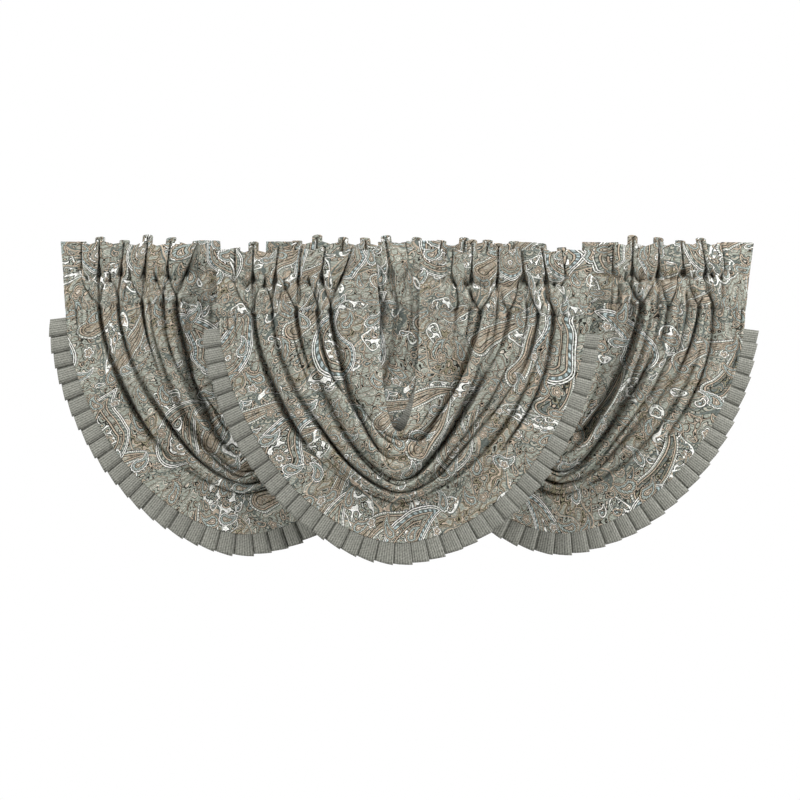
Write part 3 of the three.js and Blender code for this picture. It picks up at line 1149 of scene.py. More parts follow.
@dataclass
class Heading:
    """A gathered heading: one band of cloth folded over at the top into a frill and a rod pocket.

    Attributes:
        hang: Where its valance hangs.
        side: Which of the two it is.
        levels: Its rows from the seam up: Z, the face's Y on a pleat and the face's Y in a crease.
        frill: Half a pleat of the frill, from a crease out to its middle: the share of its width, the
            millimetres more, how far forward and how much of the crease's rise.
        pocket: The same half pleat where it passes the rod.
        droop: How far the top edge sinks on a pleat.
        slant: How much lower the seam is at the outer end.
        pouch: How far a pleat of the frill bags down over the stitches.
        tab_tuck: How far back the flat end tabs lie.
        ply: Front to back between the frill's two layers.
        apart: Front to back between the two layers outside the pocket, by Z.
        back_wall: Y of the pocket's back layer.
        back_swell: How far that swells behind a pleat.
        room: Where a crease starts to press on the back layer, and how far on it may go.
        waves: How far the top edge, the seam and the stitches go up and down.
        nip: The least and the most that the stitches draw a pleat back.
        row_spans: The front layer's rows from the seam up: Z from, Z to and how many.
        point_steps: Columns up to each next point of a half pleat.
    """

    hang: Hang
    side: Side
    levels: tuple[tuple[float, float, float], ...] = (
        (-150, -21, -8), (-140, -24, -12), (-112, -26, -14), (-92, -25.5, -9), (-79, -24.5, 7),
        (-66, -25, 8), (-36, -29, 10), (0, -27, 12),
    )
    frill: tuple[tuple[float, float, float, float], ...] = (
        (0, 0, 0, 1.3), (0, 6.5, 0.05, 1.22), (0, 9, 0.28, 1), (0, 7, 0.56, 0.74), (0, 2.8, 0.74, 0.55),
        (0, 3, 0.9, 0.42), (0.07, 3.4, 1, 0.26), (0.5, 0, 1.06, 0),
    )
    pocket: tuple[tuple[float, float, float, float], ...] = (
        (0, 0, 0, 1), (0, 1.6, 0.14, 0.98), (0, 3, 0.34, 0.95), (0, 4.6, 0.56, 0.8), (0, 6.6, 0.74, 0.62),
        (0, 9.4, 0.9, 0.4), (0.2, 4.4, 1, 0.1), (0.5, 0, 1.06, 0),
    )
    droop: float = 8
    slant: float = 22
    pouch: float = 11
    tab_tuck: float = 0.45
    ply: float = 3.4
    apart: tuple[tuple[float, float], ...] = (
        (-150, 1.4), (-146, 2), (-84, 2), (-77, 1.6), (-66, 3.4), (0, 3.4),
    )
    back_wall: float = 12
    back_swell: float = 3
    room: tuple[float, float] = (6, 8)
    waves: tuple[float, float, float] = (2.5, 3.5, 4)
    nip: tuple[float, float] = (-3, 16)
    row_spans: tuple[tuple[float, float, int], ...] = (
        (-150, -140, 4), (-140, -94, 13), (-94, -62, 14), (-62, 0, 12),
    )
    point_steps: tuple[int, ...] = (2, 2, 2, 2, 3, 5, 7)

    @property
    def gathers(self) -> Gathers:
        """The cut of this heading."""
        return GATHERS[self.side]

    def rows(self) -> np.ndarray:
        """Heights of the front layer's rows, from the seam up to the top edge."""
        spans = [np.linspace(low, high, count, endpoint=False) for low, high, count in self.row_spans]
        return np.concatenate((*spans, [0]))

    def ripple(self, number: int, across: float, down: float = 900.0) -> Ripple:
        """Give the heading's set of waves of that number."""
        return Ripple(self.hang.seed + number, across, down)

    @staticmethod
    def off_seam(z: np.ndarray) -> np.ndarray:
        """Go from 0 at the seam to 1 a little above it."""
        return ease(z, SEAM_Z + 1, SEAM_Z + 12)

    def faces(self, z: np.ndarray) -> tuple[np.ndarray, np.ndarray]:
        """Read how far forward the cloth lies.

        Args:
            z: Heights of the rows.

        Returns:
            Its Y on a pleat and in a crease.
        """
        heights, faces, tucks = zip(*self.levels)
        count = np.arange(len(heights))
        knots = np.interp(z, heights, count)
        knots = np.floor(knots) + ease(knots - np.floor(knots), 0, 1)
        return np.interp(knots, count, faces), np.interp(knots, count, tucks)

    def columns(self) -> tuple[np.ndarray, np.ndarray]:
        """Set out the columns over the pleats.

        Returns:
            Each column's pleat and its place over that pleat, from 0 in the crease on its left to 1 in
            the crease on its right.
        """
        pleat = []
        place = []
        half = sum(self.point_steps)
        count = len(self.gathers.creases) + 1
        for k in range(count):
            low = 0.5 if k == 0 else 0
            high = 0.5 if k == count - 1 else 1
            share = np.linspace(low, high, round(2 * half * (high - low)) + 1)
            share = share[1:] if k else share
            place.append(share)
            pleat.append(np.full(len(share), k))
        return np.concatenate(pleat), np.concatenate(place)

    def half_pleat(self, place: np.ndarray, z: np.ndarray) -> tuple[np.ndarray, ...]:
        """Read the shape of a half pleat.

        Args:
            place: Places over a pleat, from 0 to 1.
            z: Heights of the rows.

        Returns:
            The share of the pleat's width from the nearer crease, the millimetres more, how far forward
            and how much of the rise.
        """
        points = len(self.frill) - 1
        at = np.interp(
            2 * np.minimum(place, 1 - place) * sum(self.point_steps),
            np.concatenate(([0], np.cumsum(self.point_steps))),
            np.arange(points + 1),
        )
        upper = ease(z, -82, -48)
        found = []
        for k in range(4):
            low = curve([point[k] for point in self.pocket], at)
            high = curve([point[k] for point in self.frill], at)
            found.append(blend(low, high, upper))
        return tuple(found)

    def front(self) -> tuple[np.ndarray, np.ndarray]:
        """Shape the front layer.

        Returns:
            Its points from the seam up, and how far forward each one stands on its pleat.
        """
        cut = self.gathers
        pleat, place = self.columns()
        tops = np.array([cut.start[0], *(c.top for c in cut.creases), cut.end[0]], dtype=float)
        seams = np.array([cut.start[1], *(c.seam for c in cut.creases), cut.end[1]], dtype=float)
        depths = np.array([1, *(c.depth for c in cut.creases), 1], dtype=float)
        rises = np.array([0, *(c.rise for c in cut.creases), 0], dtype=float)
        chance = Chance.draw(self.hang.seed * 10 + (self.side is Side.RIGHT), len(depths))
        z = self.rows()[:, None]
        face, tuck = self.faces(z)

        share, more, stand, up = self.half_pleat(place, z)
        first, last = pleat == 0, pleat == len(cut.creases)
        middle = ~(first | last)
        bounds = blend(tops, seams, z / SEAM_Z)
        left, right = bounds[:, pleat], bounds[:, pleat + 1]
        on_left = (place < 0.5) | last
        share = np.where(middle, share, 2 * share)
        x = np.where(on_left, blend(left, right, share) + more, blend(right, left, share) - more)
        frill = ease(z, STITCH_Z + 3, -10)
        x = x + chance.lean[pleat] * middle * frill * stand**3 * ease(share, 0.02, 0.3)
        depth = np.where(on_left, depths[pleat], depths[pleat + 1])
        bulge = chance.swell[pleat] + chance.tilt[pleat] * (place - 0.5)
        tab = np.where(middle, 0.0, np.abs(place - np.where(first, 1, 0)) * 2) * self.tab_tuck
        crest = blend(face - bulge * frill, tuck, tab)
        y = blend(blend(face, tuck, depth), crest, stand)

        rise = np.where(on_left, rises[pleat], rises[pleat + 1])
        sink = np.maximum(1 - up, 0) ** 2 * middle
        outward = np.interp(x, [seams[0], seams[-1]], cut.outer)
        edge = ease(z, STITCH_Z + 3, 0)
        at_seam = ease(-z, 120, -SEAM_Z)
        at_stitch = np.exp(-(((z - STITCH_Z) / 15) ** 2))
        edge_wave, seam_wave, stitch_wave = self.waves
        height = z - self.slant * outward**2 * ease(-z, 80, 140)
        height = height + edge * (rise * up - self.droop * sink)
        height = height + edge * edge_wave * self.ripple(5, 1.1, 90.0).at(pleat + place, z)
        height = height + at_seam * seam_wave * self.ripple(12, 34.0).at(x, z)
        height = height - self.pouch * chance.bag[pleat] * at_stitch * sink
        height = height + at_stitch * stitch_wave * self.ripple(8, 46.0).at(x, z)

        nip = np.clip(chance.nip[pleat] - 3 * self.ripple(9, 30.0).at(x, z), *self.nip)
        nip = nip * np.exp(-(((z - STITCH_Z) / 9) ** 2)) * np.where(middle, 1, 0.2)
        cloth = steps(np.stack((x, y, height), axis=-1), 1).mean(0)
        y = y + self.puckers(cloth, z) * blend(0.4, 1, stand) + nip * np.clip(stand, 0, 1)
        back, aside = self.drawn_up(x, z)
        y = settle(y + back, *self.room)
        return np.stack((x + aside, y, height), axis=-1), np.broadcast_to(stand, x.shape)

    def drawn_up(self, x: np.ndarray, z: np.ndarray) -> tuple[np.ndarray, np.ndarray]:
        """Draw up the pocket's own creases.

        Args:
            x: Places along the rod.
            z: Heights of the rows.

        Returns:
            How far back the cloth is drawn, and how far aside where it laps over a crease.
        """
        down = np.clip((STITCH_Z + 2 - z) / 70, 0, 1)
        back = np.zeros(np.broadcast(x, z).shape)
        aside = np.zeros_like(back)
        for crease in self.gathers.drawn:
            off = x - blend(crease.top, crease.foot, down) - crease.bow * np.sin(np.pi * down)
            off = off / crease.width
            deep = crease.depth * blend(crease.ends[0], crease.ends[1], down)
            groove = np.exp(-(np.abs(off) ** 1.1))
            rim = np.exp(-((np.abs(off) - 2.2) ** 2))
            back = back + deep * (groove - 0.3 * rim)
            over = np.sign(crease.foot - crease.top)
            aside = aside + 0.4 * deep * over * np.exp(-((off + over) ** 2))
        fade = ease(-z, 60, 80)
        return back * fade, aside * fade * self.off_seam(z)

    def puckers(self, cloth: np.ndarray, z: np.ndarray) -> np.ndarray:
        """Draw up the cloth in small puckers above and below its two rows of stitches.

        Args:
            cloth: Places along the cloth, millimetres.
            z: Heights of the rows.

        Returns:
            How far back the cloth is drawn.
        """
        seed = self.hang.seed * 3
        fine = Ripple(seed + 1, 15.0, 50.0)
        broad = Ripple(seed + 2, 32.0, 70.0)
        back = Ripple(seed + 4, 60.0, 120.0).at(cloth, z) * 1.2
        for row, reach, waves, shift, deep in (
            (-79, 9, fine, 0, 2.6),
            (-84, 22, broad, 0, 4.2),
            (-148, 10, fine, 300, 1.4),
            (-148, 24, broad, 300, 2.4),
        ):
            back = back + np.exp(-np.abs(z - row) / reach) * waves.at(cloth + shift, z) * deep
        return back

    def build(self, face: bpy.types.Material) -> np.ndarray:
        """Build and dress the heading.

        Args:
            face: The face cloth.

        Returns:
            The front layer's points along the seam.
        """
        front, stand = self.front()
        z = self.rows()
        run = np.gradient(front, axis=1)
        inward = np.stack((-run[..., 1], run[..., 0], np.zeros(run.shape[:2])), axis=-1)
        inward /= np.linalg.norm(inward, axis=2, keepdims=True) + 1e-9
        apart = np.interp(z, *zip(*self.apart))
        back = front + inward * apart[:, None, None]
        hollow = (ease(-z, 78, 90) * self.off_seam(z))[:, None]
        wall = self.back_wall + self.back_swell * stand
        back[..., 1] = blend(back[..., 1], np.maximum(wall, back[..., 1]), hollow)
        back[..., 0] = blend(back[..., 0], front[..., 0], hollow)
        turn = np.linspace(0, np.pi, 7)[1:-1, None, None]
        lift = np.array([0, 0, self.ply / 2]) * np.sin(turn)
        fold = front[-1] + inward[-1] * (self.ply / 2) * (1 - np.cos(turn)) + lift
        grid = np.concatenate((front, fold, back[::-3]))
        along = steps(front, 1).mean(0)
        down = steps(grid, 0).mean(1)
        cloth = np.stack(np.meshgrid(along + self.hang.seed * 97, down + 40), axis=-1) * MM
        name = f"{self.hang.name}_heading_{self.side.value}"
        sheet = Sheet(f"{name}_cloth", name, "face_cloth", self.hang, 1.0, Hold.GATHERED)
        piece = sheet.build(grid, cloth, False)
        sheet.dress(piece, grid, face)
        return front[0]


@dataclass
class Fold:
    """One line of a swag's drape, from seam to seam.

    Attributes:
        left: Its X at the left seam, how square that side hangs and its Y half way down it.
        low: Its Z and its Y at its lowest point.
        right: Its X at the right seam, how square that side hangs and its Y half way down it.
    """

    left: tuple[float, float, float]
    low: tuple[float, float]
    right: tuple[float, float, float]


@dataclass
class Stroke:
    """One crease or ridge of a swag.

    Attributes:
        knots: Its places from left to right: how far along from 0 at the left seam to 1 at the right
            one, where across the folds, how far back in millimetres (less than 0 for a ridge) and half
            its width in folds.
        lap: How far the cloth above hangs over it on the left, at the bottom and on the right; less
            than 0 where the cloth below laps up over it.
    """

    knots: tuple[tuple[float, float, float, float], ...]
    lap: tuple[float, float, float] = (0, 0, 0)

    def read(self, along: np.ndarray) -> tuple[np.ndarray, ...]:
        """Read its place across the folds, its depth and its half width.

        Args:
            along: Places from seam to seam.

        Returns:
            Those three at each place.
        """
        at = np.interp(along, [knot[0] for knot in self.knots], np.arange(len(self.knots)))
        return tuple(curve([knot[k] for knot in self.knots], at) for k in (1, 2, 3))


@dataclass
class Swag:
    """The draped panel of one valance, hung from its two headings.

    Attributes:
        hang: Where its valance hangs.
        folds: The lines of its drape from the neck out to the hem.
        strokes: Its creases and ridges.
        low_x: X of the lowest point of every fold.
        room: The Y where a crease starts to press on what hangs behind, and how far on it may go.
        roll: How far from a crease the cloth that laps over it lies, in folds, and half its width.
        full_depth: How deep a crease is that is fully lapped.
        fold_steps: Rows from one fold line to the next.
        along_steps: Columns from seam to seam.
    """

    hang: Hang
    folds: tuple[Fold, ...] = (
        Fold((-62, 2.1, -12), (-454, -8), (37, 2.2, -14)),
        Fold((-122, 2, -26), (-464, -20), (98, 1.9, -26)),
        Fold((-184, 1.56, -24), (-476, -24), (188, 1.5, -24)),
        Fold((-194, 1.54, -26), (-506, -30), (195, 1.47, -27)),
        Fold((-206, 1.52, -28), (-536, -33), (206, 1.45, -28)),
        Fold((-220, 1.52, -29), (-564, -34), (227, 1.48, -29)),
        Fold((-248, 1.52, -29), (-584, -34), (246, 1.52, -29)),
        Fold((-276, 1.53, -29), (-594, -34), (262, 1.6, -29)),
        Fold((-302, 1.55, -29), (-612, -34), (298, 1.56, -29)),
        Fold((-329, 1.57, -29), (-620, -34), (333, 1.54, -29)),
        Fold((-356, 1.64, -29), (-627, -34), (352, 1.6, -29)),
        Fold((-376, 1.7, -28), (-624, -30), (371, 1.84, -28)),
        Fold((-387, 1.72, -28), (-638, -25), (379, 1.85, -28)),
        Fold((-406, 1.74, -27), (-664, -17), (396, 1.85, -27)),
        Fold((-434, 1.76, -25), (-697, -16), (422, 1.83, -25)),
        Fold((-461, 1.75, -22), (-731, -24), (452, 1.8, -22)),
    )
    strokes: tuple[Stroke, ...] = (
        # creases
        Stroke((
            (0, 2.4, 18, 0.4), (0.06, 2.1, 26, 0.4), (0.13, 2.2, 32, 0.5), (0.19, 2.6, 33, 0.55),
            (0.24, 2.95, 30, 0.5), (0.29, 3.0, 20, 0.4), (0.35, 3.0, 0, 0.3),
        )),
        Stroke((
            (0, 5.1, 18, 0.16), (0.09, 5.1, 16, 0.15), (0.17, 4.7, 9, 0.18), (0.22, 3.9, 9, 0.22),
            (0.27, 3.4, 14, 0.25), (0.33, 3.6, 14, 0.22), (0.4, 4.0, 10, 0.2), (0.47, 3.9, 0, 0.2),
        )),
        Stroke((
            (0.24, 2.4, 0, 0.3), (0.3, 1.9, 14, 0.3), (0.42, 1.75, 17, 0.25), (0.5, 1.75, 17, 0.25),
            (0.56, 2.0, 14, 0.3), (0.62, 3.0, 18, 0.4), (0.66, 3.2, 4, 0.3), (0.7, 3.0, 0, 0.3),
        ), lap=(0, 7, 0)),
        Stroke((
            (0.32, 2.3, 0, 0.13), (0.38, 2.55, 9, 0.13), (0.45, 2.5, 7, 0.13), (0.51, 2.6, 0, 0.13),
        )),
        Stroke((
            (0, 6.7, 16, 0.18), (0.07, 6.4, 11, 0.25), (0.14, 6.0, 15, 0.5), (0.22, 5.9, 20, 0.6),
            (0.3, 6.0, 20, 0.55), (0.38, 5.6, 22, 0.36), (0.45, 5.4, 20, 0.26), (0.52, 5.35, 20, 0.26),
            (0.58, 5.6, 24, 0.36), (0.64, 5.3, 32, 0.4), (0.7, 5.2, 36, 0.42), (0.77, 5.2, 32, 0.45),
            (0.83, 5.7, 21, 0.4), (0.88, 6.1, 20, 0.35), (0.93, 6.6, 28, 0.35), (1, 6.85, 30, 0.32),
        ), lap=(-2, 8, -2)),
        Stroke((
            (0.72, 4.85, 0, 0.13), (0.78, 4.7, 12, 0.15), (0.86, 4.6, 11, 0.15), (0.93, 4.5, 7, 0.15),
            (0.98, 4.5, 0, 0.15),
        )),
        Stroke((
            (0.3, 6.2, 0, 0.15), (0.36, 6.4, 11, 0.16), (0.44, 6.4, 11, 0.15), (0.52, 6.4, 8, 0.15),
            (0.58, 6.2, 0, 0.15),
        )),
        Stroke((
            (0, 7.6, 11, 0.16), (0.05, 7.5, 8, 0.15), (0.11, 7.2, 0, 0.15),
        )),
        Stroke((
            (0, 9.3, 20, 0.25), (0.05, 9.2, 18, 0.25), (0.1, 8.9, 11, 0.28), (0.16, 8.65, 9, 0.28),
            (0.22, 8.3, 18, 0.28), (0.28, 8.14, 32, 0.27), (0.34, 8.06, 36, 0.27), (0.4, 7.75, 32, 0.25),
            (0.45, 7.4, 26, 0.22), (0.5, 7.3, 23, 0.2), (0.55, 7.55, 25, 0.22), (0.59, 7.8, 20, 0.22),
            (0.63, 8.2, 8, 0.18), (0.67, 8.2, 0, 0.18),
        ), lap=(-3, 9, 4)),
        Stroke((
            (0.57, 7.7, 0, 0.14), (0.63, 7.35, 9, 0.14), (0.68, 6.95, 13, 0.16), (0.74, 7.0, 13, 0.16),
            (0.83, 7.5, 10, 0.16), (0.92, 7.8, 10, 0.16), (1, 8.2, 15, 0.18),
        )),
        Stroke((
            (0.6, 8.3, 0, 0.15), (0.64, 8.1, 9, 0.15), (0.69, 7.8, 11, 0.15), (0.74, 7.95, 11, 0.16),
            (0.8, 8.45, 13, 0.19), (0.87, 8.8, 11, 0.17), (0.94, 9.1, 11, 0.17), (1, 9.4, 17, 0.2),
        )),
        Stroke((
            (0.56, 10.4, 0, 0.2), (0.6, 10.15, 11, 0.2), (0.67, 10.15, 10, 0.2), (0.75, 10.1, 12, 0.2),
            (0.83, 10.05, 13, 0.2), (0.92, 10.15, 10, 0.19), (0.98, 10.4, 0, 0.18),
        )),
        Stroke((
            (0, 11.0, 28, 0.45), (0.05, 10.65, 38, 0.42), (0.1, 10.6, 41, 0.42), (0.17, 10.7, 41, 0.42),
            (0.22, 10.9, 32, 0.42), (0.27, 11.1, 16, 0.45), (0.34, 11.3, 0, 0.5),
        )),
        Stroke((
            (0.33, 11.0, 0, 0.3), (0.4, 10.8, 12, 0.4), (0.5, 11.3, 16, 0.3), (0.57, 11, 0, 0.3),
        ), lap=(0, 9, 0)),
        Stroke((
            (0.72, 11.6, 0, 0.4), (0.76, 11.2, 16, 0.45), (0.82, 11.3, 22, 0.5), (0.9, 11.5, 22, 0.5),
            (0.96, 11.6, 25, 0.45), (1, 11.6, 30, 0.4),
        )),
        Stroke((
            (0.6, 3.0, 0, 0.4), (0.65, 3.0, 16, 0.5), (0.7, 2.6, 20, 0.7), (0.77, 2.5, 23, 0.8),
            (0.83, 2.4, 21, 0.7), (0.88, 2.2, 22, 0.5), (0.93, 2.1, 27, 0.35), (1, 2.0, 30, 0.3),
        )),
        Stroke((
            (0.6, 1.75, 0, 0.15), (0.68, 1.25, 9, 0.15), (0.8, 1.1, 9, 0.15), (0.9, 1.1, 7, 0.14),
            (1, 1.2, 7, 0.14),
        )),
        Stroke((
            (0, 1.05, 7, 0.2), (0.1, 1.0, 4, 0.2), (0.2, 1.1, 0, 0.2),
        )),
        Stroke((
            (0, 0.5, 6, 0.16), (0.1, 0.55, 5, 0.16), (0.25, 0.4, 0, 0.16),
        )),
        # ridges between them
        Stroke((
            (0, 3.8, -8, 0.7), (0.05, 3.9, -12, 0.7), (0.12, 3.9, -13, 0.6), (0.17, 3.8, -6, 0.5),
            (0.21, 3.7, 0, 0.4),
        )),
        Stroke((
            (0, 5.8, -8, 0.35), (0.13, 5.4, -13, 0.4), (0.22, 4.9, -15, 0.45), (0.33, 4.6, -15, 0.45),
            (0.42, 4.5, -15, 0.45), (0.5, 4.4, -16, 0.42), (0.6, 4.4, -17, 0.4), (0.7, 4.2, -19, 0.4),
            (0.8, 3.9, -19, 0.45), (0.9, 3.5, -16, 0.55), (1, 3.2, -10, 0.6),
        )),
        Stroke((
            (0, 8.5, -8, 0.4), (0.08, 8.2, -9, 0.4), (0.16, 7.9, -13, 0.4), (0.24, 7.5, -14, 0.4),
            (0.36, 7.2, -14, 0.34), (0.44, 6.9, -13, 0.28), (0.5, 6.85, -14, 0.26), (0.56, 6.7, -16, 0.3),
            (0.63, 6.2, -17, 0.36), (0.7, 6.05, -17, 0.36), (0.78, 6.1, -15, 0.36),
            (0.86, 6.55, -13, 0.34), (0.93, 7.05, -11, 0.3), (1, 7.4, -10, 0.34),
        )),
        Stroke((
            (0, 9.9, -10, 0.35), (0.1, 9.75, -13, 0.36), (0.2, 9.45, -15, 0.42), (0.3, 9.05, -15, 0.45),
            (0.4, 8.7, -15, 0.5), (0.5, 8.9, -15, 0.6), (0.58, 8.9, -15, 0.5), (0.66, 8.8, -15, 0.5),
            (0.75, 9.2, -13, 0.5), (0.85, 9.5, -12, 0.4), (0.93, 9.7, -11, 0.38), (1, 9.8, -8, 0.38),
        )),
        Stroke((
            (0.55, 10.8, 0, 0.35), (0.62, 10.8, -9, 0.35), (0.72, 10.65, -10, 0.33),
            (0.83, 10.65, -12, 0.35), (0.95, 10.75, -12, 0.3), (1, 10.8, -8, 0.3),
        )),
    )
    low_x: float = -14
    room: tuple[float, float] = (-2, 13)
    roll: tuple[float, float] = (0.3, 0.24)
    full_depth: float = 20
    fold_steps: int = 12
    along_steps: int = 152

    def drape(self, seams: dict[Side, np.ndarray]) -> np.ndarray:
        """Shape the hanging cloth.

        Args:
            seams: The points along each heading's seam.

        Returns:
            Points, from the left seam round to the right seam by from the neck out to the hem.
        """
        count = len(self.folds) - 1
        row = np.linspace(0, count, count * self.fold_steps + 1)[None, :]
        along = np.linspace(0, 1, self.along_steps + 1)[:, None]
        on_left = along < 0.5
        fall = 2 * np.minimum(along, 1 - along)

        def side(k: int) -> np.ndarray:
            """Read a column of the fold table on whichever side each point is."""
            left = curve([fold.left[k] for fold in self.folds], row)
            right = curve([fold.right[k] for fold in self.folds], row)
            return np.where(on_left, left, right)

        side_x, bow, side_y = side(0), side(1), side(2)
        low_z = curve([fold.low[0] for fold in self.folds], row)
        low_y = curve([fold.low[1] for fold in self.folds], row)
        sewn_y, sewn_z = self.sewn(seams, side_x, on_left)
        angle = fall * np.pi / 2
        power = 2 / bow
        x = blend(self.low_x, side_x, np.maximum(np.cos(angle), 0) ** power)
        z = blend(sewn_z, low_z, np.sin(angle) ** power)
        hung = blend(side_y, low_y, ease(fall, 0.45, 1)) + self.relief(row, along)
        y = blend(sewn_y, settle(hung, *self.room), ease(fall, 0, 0.45))

        out_x, out_z = np.gradient(x, axis=1), np.gradient(z, axis=1)
        size = np.hypot(out_x, out_z) + 1e-9
        lap = self.laps(row, along)
        x = x + lap * out_x / size
        z = z + lap * out_z / size
        y = y + self.wrinkles(row, along, fall, side_x)
        return np.stack((x, y, z), axis=-1)

    def sewn(
        self, seams: dict[Side, np.ndarray], side_x: np.ndarray, on_left: np.ndarray
    ) -> tuple[np.ndarray, np.ndarray]:
        """Find where the swag is sewn to its headings.

        Args:
            seams: The points along each heading's seam.
            side_x: X along the seam of each point's fold.
            on_left: Whether the point is on the left.

        Returns:
            Y and Z of the seam there, just inside the band.
        """
        found = []
        for k, tuck in ((1, 0.3), (2, 0.6)):
            left, right = (np.interp(side_x, seams[s][:, 0], seams[s][:, k]) for s in Side)
            found.append(np.where(on_left, left, right) + tuck)
        return found[0], found[1]

    def relief(self, row: np.ndarray, along: np.ndarray) -> np.ndarray:
        """Press in the creases and raise the ridges.

        Args:
            row: Places across the folds.
            along: Places from seam to seam.

        Returns:
            How much further back the cloth goes.
        """
        depth = np.zeros(np.broadcast(row, along).shape)
        for stroke in self.strokes:
            middle, deep, width = stroke.read(along)
            share = np.abs(row - middle) / width
            sharp = np.exp(-0.7 * share**1.6)
            depth = depth + deep * np.where(deep > 0, 1.2 * sharp, 1 / (1 + share**4))
        return depth * ease(along, 0, 0.06) * ease(along, 1, 0.94)

    def laps(self, row: np.ndarray, along: np.ndarray) -> np.ndarray:
        """Hang the cloth beside each crease a little over it.

        Args:
            row: Places across the folds.
            along: Places from seam to seam.

        Returns:
            How far the cloth is moved out across the folds.
        """
        moved = np.zeros(np.broadcast(row, along).shape)
        for stroke in self.strokes:
            middle, deep, _ = stroke.read(along)
            lap = curve(list(stroke.lap), 2 * along) * np.clip(deep / self.full_depth, 0, 1)
            roll = middle - self.roll[0] * np.sign(lap)
            moved = moved + lap * np.exp(-(((row - roll) / self.roll[1]) ** 2))
        return moved * ease(along, 0.02, 0.12) * ease(along, 0.98, 0.88)

    def wrinkles(
        self, row: np.ndarray, along: np.ndarray, fall: np.ndarray, side_x: np.ndarray
    ) -> np.ndarray:
        """Add the small unevenness of real cloth.

        Args:
            row: Places across the folds.
            along: Places from seam to seam.
            fall: How far down from the seam.
            side_x: X of each fold at the seam.

        Returns:
            How far back the cloth goes.
        """
        seed = self.hang.seed * 7
        long = Ripple(seed + 1, 1.5, 8.0).at(row, along * 8)
        short = Ripple(seed + 2, 0.6, 2.2).at(row, along * 8)
        drawn = Ripple(seed + 3, 15.0, 1.0).at(side_x, fall)
        body = ease(fall, 0, 0.2) * blend(1, 0.15, ease(row, 11.5, 12.6))
        uneven = body * (long * 2.6 + short * 1.0)
        return uneven + np.exp(-fall / 0.07) * drawn * 2.2 * ease(fall, 0, 0.02)

    def build(self, seams: dict[Side, np.ndarray], face: bpy.types.Material) -> np.ndarray:
        """Build and dress the swag.

        Args:
            seams: The points along each heading's seam.
            face: The face cloth.

        Returns:
            The points along its hem, from left to right.
        """
        grid = self.drape(seams)
        name = f"{self.hang.name}_swag"
        carriers = tuple(f"{self.hang.name}_heading_{side.value}" for side in Side)
        sheet = Sheet(f"{name}_cloth", name, "face_cloth", self.hang, 1.2, Hold.HUNG, carriers)
        piece = sheet.build(grid, self.spread(grid), True)
        sheet.dress(piece, grid, face)
        return grid[:, -1]

    def spread(self, grid: np.ndarray) -> np.ndarray:
        """Lay the draped cloth out flat, fold by fold, from the neck edge outwards.

        Args:
            grid: The draped points.

        Returns:
            Places on the flat cloth, metres.
        """
        step = np.diff(grid, axis=1)
        level = step[..., [0, 2]]
        stretch = 0.35 + 0.65 * np.linalg.norm(step, axis=2) / (np.linalg.norm(level, axis=2) + 1.0)
        moved = np.cumsum(level * np.clip(stretch, 0.6, 3)[..., None], axis=1)
        flat = grid[:, :1, [0, 2]] + np.concatenate((np.zeros_like(moved[:, :1]), moved), axis=1)
        return (flat + (self.hang.seed * 61, 0)) * MM


